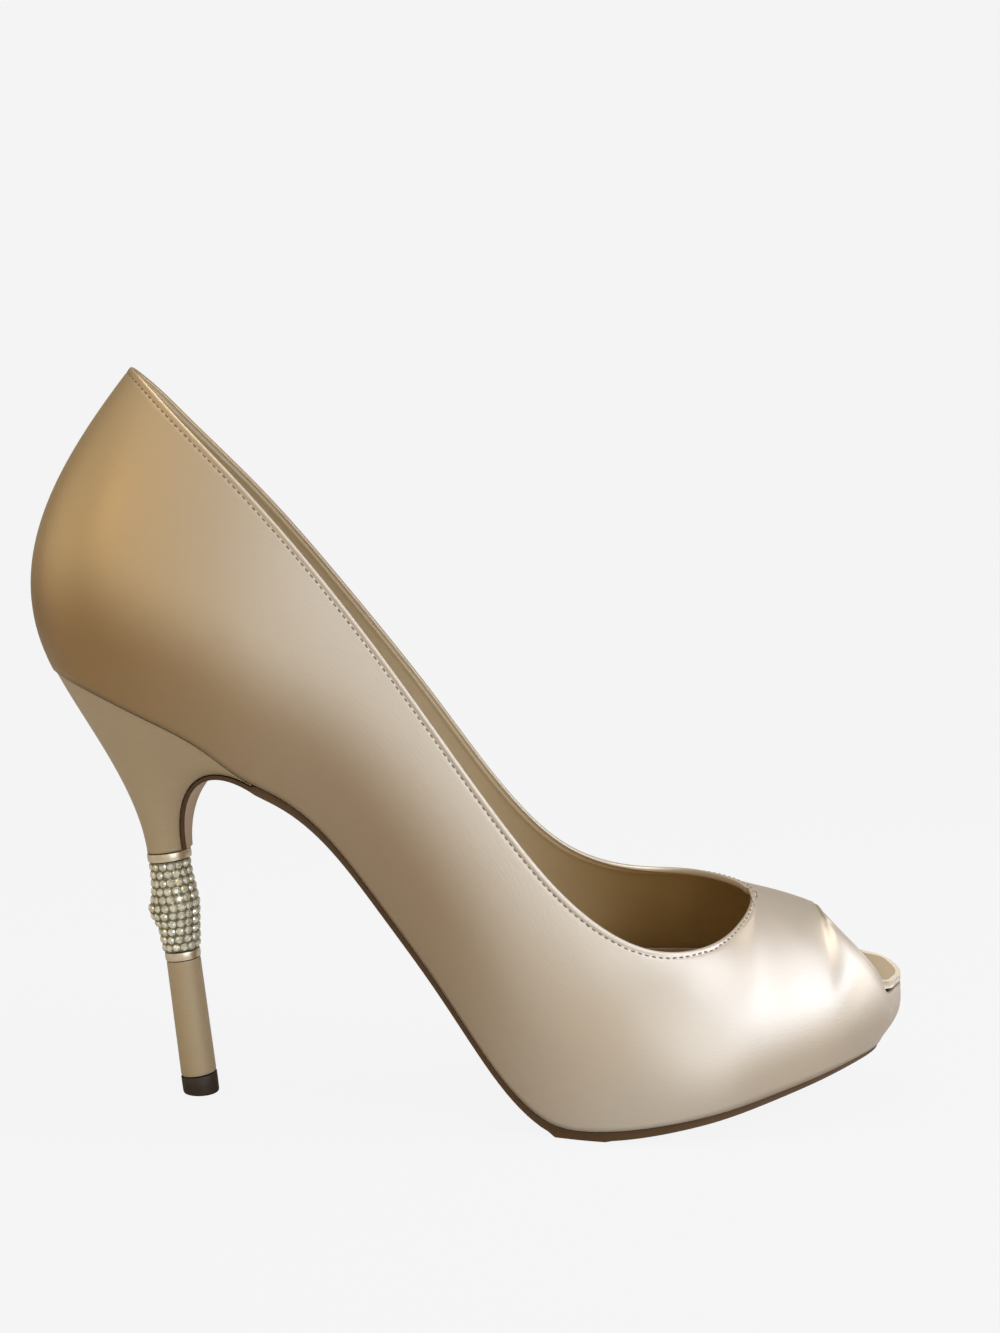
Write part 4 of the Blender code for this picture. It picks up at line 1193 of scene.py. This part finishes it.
def heel_seat():
    """The heel's upper edge: its ribs along X and where they end on the outer and the inner side."""
    edges = []
    for inner in SIDES:
        reach = np.linspace(0, LAST.foot.stops_on(inner, LAST.toe + 1)[-1], 900)
        edges.append(LAST.foot.walk(inner, reach)[:, :2])
    first = edges[0][:, 0].min() + SOLE_INSET
    ribs = fine_stations(first, float(x_of(BREAST)), 1.4, round_end=False)
    sides = []
    for edge in edges:
        order = np.argsort(edge[:, 0])
        y = np.interp(ribs - SOLE_INSET, edge[order, 0], edge[order, 1])
        sides.append(y - np.sign(y) * np.minimum(SOLE_INSET, np.abs(y)))
        sides[-1][0] = 0.0
    return ribs, sides


def heel_sides():
    """The curves down the heel's outer and inner side, from the back to the corners of the breast."""
    ribs, sides = heel_seat()
    found = []
    for y, side in zip(sides, (-1.0, 1.0)):
        edge = np.stack([ribs, y, bottom_height(ribs)], 1)
        corner = np.concatenate([[0], np.cumsum(np.linalg.norm(np.diff(edge, axis=0), axis=1))])
        corner /= corner[-1]
        edge[-1, 2] -= BREAST_EDGE
        found.append([side_handles(seat, side, share) for seat, share in zip(edge, corner)])
    return found


def heel_breast(sides):
    """The curves down the heel's breast, from its outer corner to its inner corner."""
    outer, inner = sides[0][-1], sides[1][-1]
    curves = []
    for share in np.linspace(0, 1, BREAST_PARTS + 1):
        handles = outer * (1 - share) + inner * share
        handles[2:, 0] += BREAST_BULGE * 4 * share * (1 - share)
        curves.append(handles)
    return curves


print("curves on the outer side of the heel:", len(heel_sides()[0]))

# %% Make the heel block
down = np.linspace(0, 1, HEEL_ROWS + 1)
sides = heel_sides()
breast = heel_breast(sides)
block = Shell()
around = sides[0] + breast[1:-1] + sides[1][::-1]
rows = block.sheet([[bezier(handles, t) for t in down] for handles in around])
block.face([row[-1] for row in rows[:-1]][::-1])
ribs, edges = heel_seat()
seat = []
for x, outer, inner in zip(ribs, *edges):
    parts = BREAST_PARTS if x == ribs[-1] else 1
    seat.append([block.point((x, y, float(bottom_height(x)))) for y in np.linspace(outer, inner, parts + 1)])
for row, after in zip(seat, seat[1:]):
    block.face([row[0], *after, row[-1]])
lip = [block.point(handles[0]) for handles in breast]
for i in range(BREAST_PARTS):
    block.face([seat[-1][i], lip[i], lip[i + 1], seat[-1][i + 1]])
block.face([seat[-1][0], block.point(sides[0][-2][0]), lip[0]])
block.face([seat[-1][-1], lip[-1], block.point(sides[1][-2][0])])
block_uv = np.array(block.points)[:, [1, 2]]
new_piece(
    "heel_block_cover", block.points, block.faces, [heel_cover_satin],
    uvs=block_uv, replaces=["heel_block"],
)

# %% [markdown]
# ### Outsole
# The outsole is one piece of leather, thin enough to bend down the heel's breast as a flap. Its cut edge is
# inked dark brown, which also paints the shade in the seam under the upper, and its face underneath keeps
# the colour of the leather.

# %% Make the outsole with its flap
sole_edges = [smooth_outline(outline_at(inner, foot_height, SOLE_INSET)) for inner in SIDES]
sole_end = min(edge[:, 0].max() for edge in sole_edges)
over, under = [], []
for x in fine_stations(float(x_of(BREAST)) + BREAST_FLAP, sole_end, round_start=False)[::-1]:
    y = across(*sole_edges, x, BREAST_PARTS)
    over.append([(x, side, float(bottom_height(x))) for side in y])
    under.append([(x, side, float(underside(x))) for side in y])
face = np.array([[bezier(handles, t) for handles in breast] for t in down])
normal = np.cross(np.gradient(face, axis=0), np.gradient(face, axis=1))
normal /= np.linalg.norm(normal, axis=2)[..., None]
normal *= np.sign(normal[..., :1] - normal[..., 2:])
over += [list(row) for row in face + normal * GAP]
under += [list(row) for row in face + normal * (GAP + BREAST_FLAP)]
sole_shell = slab(over[::-1], under[::-1], 1, 1, 0)
outsole = new_piece(
    "leather_outsole", sole_shell.points, sole_shell.faces, [sole_leather, sole_edge_ink_and_seam_shade],
    sole_shell.kinds, replaces=["outsole"],
)
soften(outsole, 0.35, 2)

# %% [markdown]
# ### Rings, sleeve, stem and tip
# The lower heel is a stack on one leaning pin: a stem covered in satin, a thin gold ring, the crystal-set
# sleeve, another ring, and the block. Each is a turned form that follows the lean of the pin.

# %% Turned pieces
ROUND_PARTS = 72


def turned(name, rows, finishes, slot, replaces):
    """A closed solid round the heel's axis through rows of height, back, front and side, top down."""
    turns = np.linspace(0, 2 * math.pi, ROUND_PARTS + 1)
    grid = [[heel_section(*row, turn) for turn in turns] for row in rows]
    for row in grid:
        row[-1] = row[0]
    shell = Shell()
    loops = shell.sheet(grid)
    shell.face(loops[0][:-1][::-1])
    shell.face(loops[-1][:-1])
    flat = [(math.atan2(p[1], p[0] + LEAN * p[2]) * 5.0, p[2]) for p in shell.points]
    return new_piece(name, shell.points, shell.faces, finishes, uvs=flat, replaces=replaces)


def ring_rows(top, back, front, side, steps=12):
    """A ring with a rounded outer face."""
    rows = []
    for share in np.linspace(0, 1, steps + 1):
        out = RING_OVERHANG * (0.35 + 1.0 * math.sin(math.pi * (0.04 + 0.92 * share)) ** 0.6)
        rows.append((top - share * RING_HEIGHT, back + out, front + out, side + out))
    return rows


stem_half = STEM_TOP_DEPTH / 2, STEM_TOP_DEPTH / 2, STEM_TOP_DEPTH / 2 * STEM_WIDTH_RATIO
foot_half = STEM_FOOT_DEPTH / 2, STEM_FOOT_DEPTH / 2, STEM_FOOT_DEPTH / 2 * STEM_WIDTH_RATIO
stem_foot = TIP_HEIGHT + GAP
ring_low_top = TIP_HEIGHT + STEM_HEIGHT + RING_HEIGHT + 2 * GAP
sleeve_top = ring_low_top + GAP + SLEEVE_HEIGHT
neck_half = NECK_DEPTH / 2, NECK_DEPTH / 2, NECK_WIDTH / 2
turned("upper_ring", ring_rows(NECK_HEIGHT, *neck_half), [ring_gold], "pale_gold", ["heel_ring_top"])
turned("lower_ring", ring_rows(ring_low_top, *stem_half), [ring_gold], "pale_gold", ["heel_ring_low"])
stem_rows = []
for share in np.concatenate([[0.0, 0.006, 0.015], np.linspace(0.03, 0.97, 24), [0.985, 0.994, 1.0]]):
    ease = -0.12 * max(0.0, 1 - min(share, 1 - share) / 0.015)
    size = [a * (1 - share) + b * share + ease for a, b in zip(stem_half, foot_half)]
    stem_rows.append((stem_foot + STEM_HEIGHT * (1 - share), *size))
turned("covered_stem", stem_rows, [heel_cover_satin], "heel_satin", ["heel_stem"])
EASED, WAISTED, TIP_ROUND = 0.12, -0.02, 0.5
tip_half = [half + TIP_OVERHANG for half in foot_half]
tip_rows = []
tip_heights = (TIP_HEIGHT, TIP_HEIGHT - EASED, TIP_HEIGHT / 2, TIP_ROUND)
for height, ease in zip(tip_heights, (EASED, 0.0, WAISTED, 0.0)):
    tip_rows.append((height, *[half - ease for half in tip_half]))
for angle in np.linspace(0, math.pi / 2, 7)[1:]:
    height = TIP_ROUND - TIP_ROUND * math.sin(angle)
    tip_rows.append((height, *[half - TIP_RIM * (1 - math.cos(angle)) for half in tip_half]))
turned("rubber_tip", tip_rows, [tip_rubber], "tip_rubber", ["heel_tip"])

# %% [markdown]
# ### The crystal sleeve
# The sleeve is a cast shell set with foil-backed stones: staggered rows of round cut crystals, held by tiny
# beads of metal pushed up between them. A bump texture would look painted, so every stone is a cut solid.

# %% Sleeve bed
# share: of SLEEVE_HEIGHT from its top. back, front, side: of NECK_DEPTH.
SLEEVE_FORM = (
    (0.00, 0.495, 0.470, 0.515),
    (0.15, 0.500, 0.480, 0.525),
    (0.33, 0.530, 0.525, 0.555),
    (0.44, 0.590, 0.545, 0.580),
    (0.52, 0.645, 0.550, 0.595),
    (0.60, 0.600, 0.530, 0.575),
    (0.70, 0.510, 0.505, 0.530),
    (0.85, 0.465, 0.470, 0.480),
    (1.00, 0.430, 0.425, 0.445),
)
sleeve_form = np.array(SLEEVE_FORM)
sleeve_at = spline(sleeve_form[:, 0], sleeve_form[:, 1:] * NECK_DEPTH)
STONE_SINK = 0.45
sleeve_rows = []
for share in np.linspace(0, 1, 45):
    size = sleeve_at(share) - STONE_SINK
    sleeve_rows.append((sleeve_top - share * SLEEVE_HEIGHT, *size))
turned("sleeve_bed", sleeve_rows, [pave_bed], "crystal_pave", ["heel_sleeve"])

# %% Cut stones and beads
random.seed(7)
STONE = 2.05
STONE_ROWS = 11
STONE_PITCH, STONE_FILL = 1.10, 0.93
STONE_TILT = 0.09
BEAD = 0.36
# Girdle below and above, crown and table: radius and height in STONE, and turn in facets.
STONE_CUT = ((0.5, -0.30, 0.0), (0.5, 0.06, 0.0), (0.47, 0.12, 0.5), (0.27, 0.30, 0.0))
BEAD_CUT = (-0.3, 0.25, 0.7, 0.95)
FACETS = 8
FACET = 2 * math.pi / FACETS


def sleeve_frame(share, turn):
    """A point of the sleeve's face, its outward normal and a direction along it."""
    def place(s, a):
        return heel_section(sleeve_top - s * SLEEVE_HEIGHT, *(sleeve_at(s) - STONE_SINK), a)

    here = place(share, turn)
    around = place(share, turn + 0.02) - place(share, turn - 0.02)
    down_way = place(min(share + 0.01, 1), turn) - place(max(share - 0.01, 0), turn)
    around /= np.linalg.norm(around)
    normal = np.cross(around, down_way)
    normal /= np.linalg.norm(normal)
    if normal @ (here - np.array([-LEAN * here[2], 0, here[2]])) < 0:
        normal = -normal
    return here, normal, around


def cut_stone(shell, share, turn, size):
    """A round crystal: a girdle, eight crown facets and a flat table."""
    here, normal, around = sleeve_frame(share, turn)
    tilt = [random.uniform(-1, 1) * STONE_TILT for _ in range(3)]
    normal = normal + np.array(tilt)
    normal /= np.linalg.norm(normal)
    side = np.cross(normal, around)
    side /= np.linalg.norm(side)
    around = np.cross(side, normal)
    spin = random.uniform(0, FACET)
    rings = []
    for radius, height, turned in STONE_CUT:
        angles = spin + (np.arange(FACETS) + turned) * FACET
        rings.append(circle(here + size * height * normal, size * radius, around, side, angles))
    shell.tube(rings)


def bead(shell, share, turn, size):
    """A small round bead of metal between the stones."""
    here, normal, around = sleeve_frame(share, turn)
    side = np.cross(normal, around)
    rings = []
    for lift in BEAD_CUT:
        radius = size * math.sqrt(1 - lift**2)
        rings.append(circle(here + size * lift * normal, radius, around, side, np.arange(FACETS) * FACET))
    shell.tube(rings)


stones, beads = Shell(), Shell()
for row in range(STONE_ROWS):
    share = (row + 0.5) / STONE_ROWS
    round_length = 2 * math.pi * float(np.mean(sleeve_at(share)))
    number = round(round_length / (STONE * STONE_PITCH))
    for k in range(number):
        turn = 2 * math.pi * (k + 0.5 * (row % 2)) / number
        size = min(STONE, round_length / number * STONE_FILL) * random.uniform(0.93, 1.03)
        cut_stone(stones, share, turn, size)
        if row < STONE_ROWS - 1:
            for between in (turn, turn + math.pi / number):
                bead(beads, share + 0.5 / STONE_ROWS, between, BEAD)
crystals = new_piece("sleeve_crystals", stones.points, stones.faces, [crystal])
crystals.data.shade_flat()
new_piece("sleeve_beads", beads.points, beads.faces, [pave_bed])

# %% [markdown]
# ### Platform
# The platform is hidden by the upper's skirt. Its solid already has the right shape, so it keeps it and only
# gets a finish.

# %% Finish the platform's own solid
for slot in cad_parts["platform"].material_slots:
    slot.material = platform_foam
print("platform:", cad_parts["platform"].material_slots[0].material.name)

# %% [markdown]
# ## Studio
# The shoe was photographed on a white sweep, from its outer side and a little above, with soft light from
# above, in front and beyond the toe, and a little from the heel's side. Square area lights stand in for the
# real ones, all turned to the shoe, so that each one's direction and power are easy to change.

# %% Camera
IMAGE_HEIGHT = 1333
SENSOR = 36.0
CAMERA_AWAY, CAMERA_HEIGHT, AIM_HEIGHT, AIM_X = 400.0, 130.0, 105.0, 73.7
SCALE = 0.243  # mm of the shoe's long axis in one pixel of the photograph
camera_data = bpy.data.cameras.new("camera")
camera = bpy.data.objects.new("camera", camera_data)
bpy.context.scene.collection.objects.link(camera)
camera.location = Vector((AIM_X, -CAMERA_AWAY, CAMERA_HEIGHT)) * MM
aim = Vector((0, CAMERA_AWAY, AIM_HEIGHT - CAMERA_HEIGHT))
camera.rotation_euler = aim.to_track_quat("-Z", "Y").to_euler()
camera_data.sensor_width = SENSOR
camera_data.lens = SENSOR * aim.length / SCALE / IMAGE_HEIGHT
camera_data.clip_start = 0.01
bpy.context.scene.camera = camera
print(f"lens {camera_data.lens:.1f} mm")

# %% Lights
LIGHTS_AWAY = 0.8  # m from the middle of the shoe
MIDDLE = Vector((0.07, 0.0, 0.07))
# round: degrees from the camera's side toward the toe. up: degrees over the floor. size: m. watts and colour.
SOFT_LIGHTS = (
    ("overhead", 0, 90, 0.5, 3.0, "#FFFFFF"),
    ("window", 90, 10, 0.5, 2.0, "#F0F6FF"),
    ("window_top", 80, 40, 0.4, 1.5, "#D8E6FF"),
    ("front", 30, 10, 0.5, 1.5, "#E0EEFF"),
    ("front_pane", 60, 25, 0.3, 1.25, "#CCE2FF"),
    ("front_top", 45, 60, 0.3, 0.5, "#CCE2FF"),
    ("gold_reflector", -40, 30, 0.2, 0.25, "#FFD890"),
    ("room_fill", -15, 5, 0.6, 0.35, "#FFF0E0"),
    ("back_fill", -85, 12, 0.6, 0.45, "#FFF2E2"),
)


def soft_light(name, round_by, up, size, watts, colour):
    """A square soft light that faces the middle of the shoe."""
    a, b = math.radians(round_by), math.radians(up)
    away = Vector((math.sin(a) * math.cos(b), -math.cos(a) * math.cos(b), math.sin(b)))
    data = bpy.data.lights.new(name, "AREA")
    data.shape = "SQUARE"
    data.size = size
    data.energy = watts
    data.color = linear(colour)[:3]
    lamp = bpy.data.objects.new(name, data)
    bpy.context.scene.collection.objects.link(lamp)
    lamp.location = MIDDLE + away * LIGHTS_AWAY
    lamp.rotation_euler = (-away).to_track_quat("-Z", "Y").to_euler()
    return lamp


for light in SOFT_LIGHTS:
    soft_light(*light)
world = bpy.data.worlds.new("studio")
bpy.context.scene.world = world
world.use_nodes = True
background = world.node_tree.nodes["Background"]
background.inputs["Color"].default_value = linear("#FFF0D0")
background.inputs["Strength"].default_value = 0.5
bpy.context.scene.view_settings.view_transform = "Standard"

# %% [markdown]
# ### Sweep
# A sweep is a sheet of paper that bends up behind the object, so that no corner shows. Here it is a bent
# mesh: to the camera it looks white, and to the shoe it is pale paper that throws light back up.

# %% Sweep
SWEEP_FRONT, SWEEP_BACK, SWEEP_TOP, SWEEP_SIDE = -4.0, 0.6, 5.0, 6.0  # m
SWEEP_BEND = 0.5
sweep_material, sweep_surface = new_finish("white_sweep", Roughness=1.0)
seen = add_node(sweep_material, "ShaderNodeLightPath")
paper = add_node(
    sweep_material, "ShaderNodeMix", RGBA, i0=seen.outputs["Is Camera Ray"],
    i6=(0.53, 0.52, 0.5, 1.0), i7=(0.03, 0.03, 0.03, 1.0),
)
join(sweep_material, paper.outputs[2], sweep_surface, "Base Color")
join(sweep_material, seen.outputs["Is Camera Ray"], sweep_surface, "Emission Strength")
sweep_surface.inputs["Emission Color"].default_value = (0.885, 0.885, 0.89, 1.0)
sweep_surface.inputs["Specular IOR Level"].default_value = 0.0
profile = [(SWEEP_FRONT, 0.0), (SWEEP_BACK, 0.0)]
for a in np.linspace(0.1, math.pi / 2, 12):
    profile.append((SWEEP_BACK + SWEEP_BEND * math.sin(a), SWEEP_BEND - SWEEP_BEND * math.cos(a)))
profile.append((SWEEP_BACK + SWEEP_BEND, SWEEP_TOP))
sweep_mesh = bpy.data.meshes.new("sweep")
corners = [(x, y, z) for y, z in profile for x in (-SWEEP_SIDE, SWEEP_SIDE)]
strips = [(i, i + 1, i + 3, i + 2) for i in range(0, 2 * len(profile) - 2, 2)]
sweep_mesh.from_pydata(corners, [], strips)
sweep_mesh.materials.append(sweep_material)
sweep_mesh.shade_smooth()
sweep = bpy.data.objects.new("sweep", sweep_mesh)
bpy.context.scene.collection.objects.link(sweep)
sweep.location.z = -0.0002
print("corners of the sweep:", len(corners))
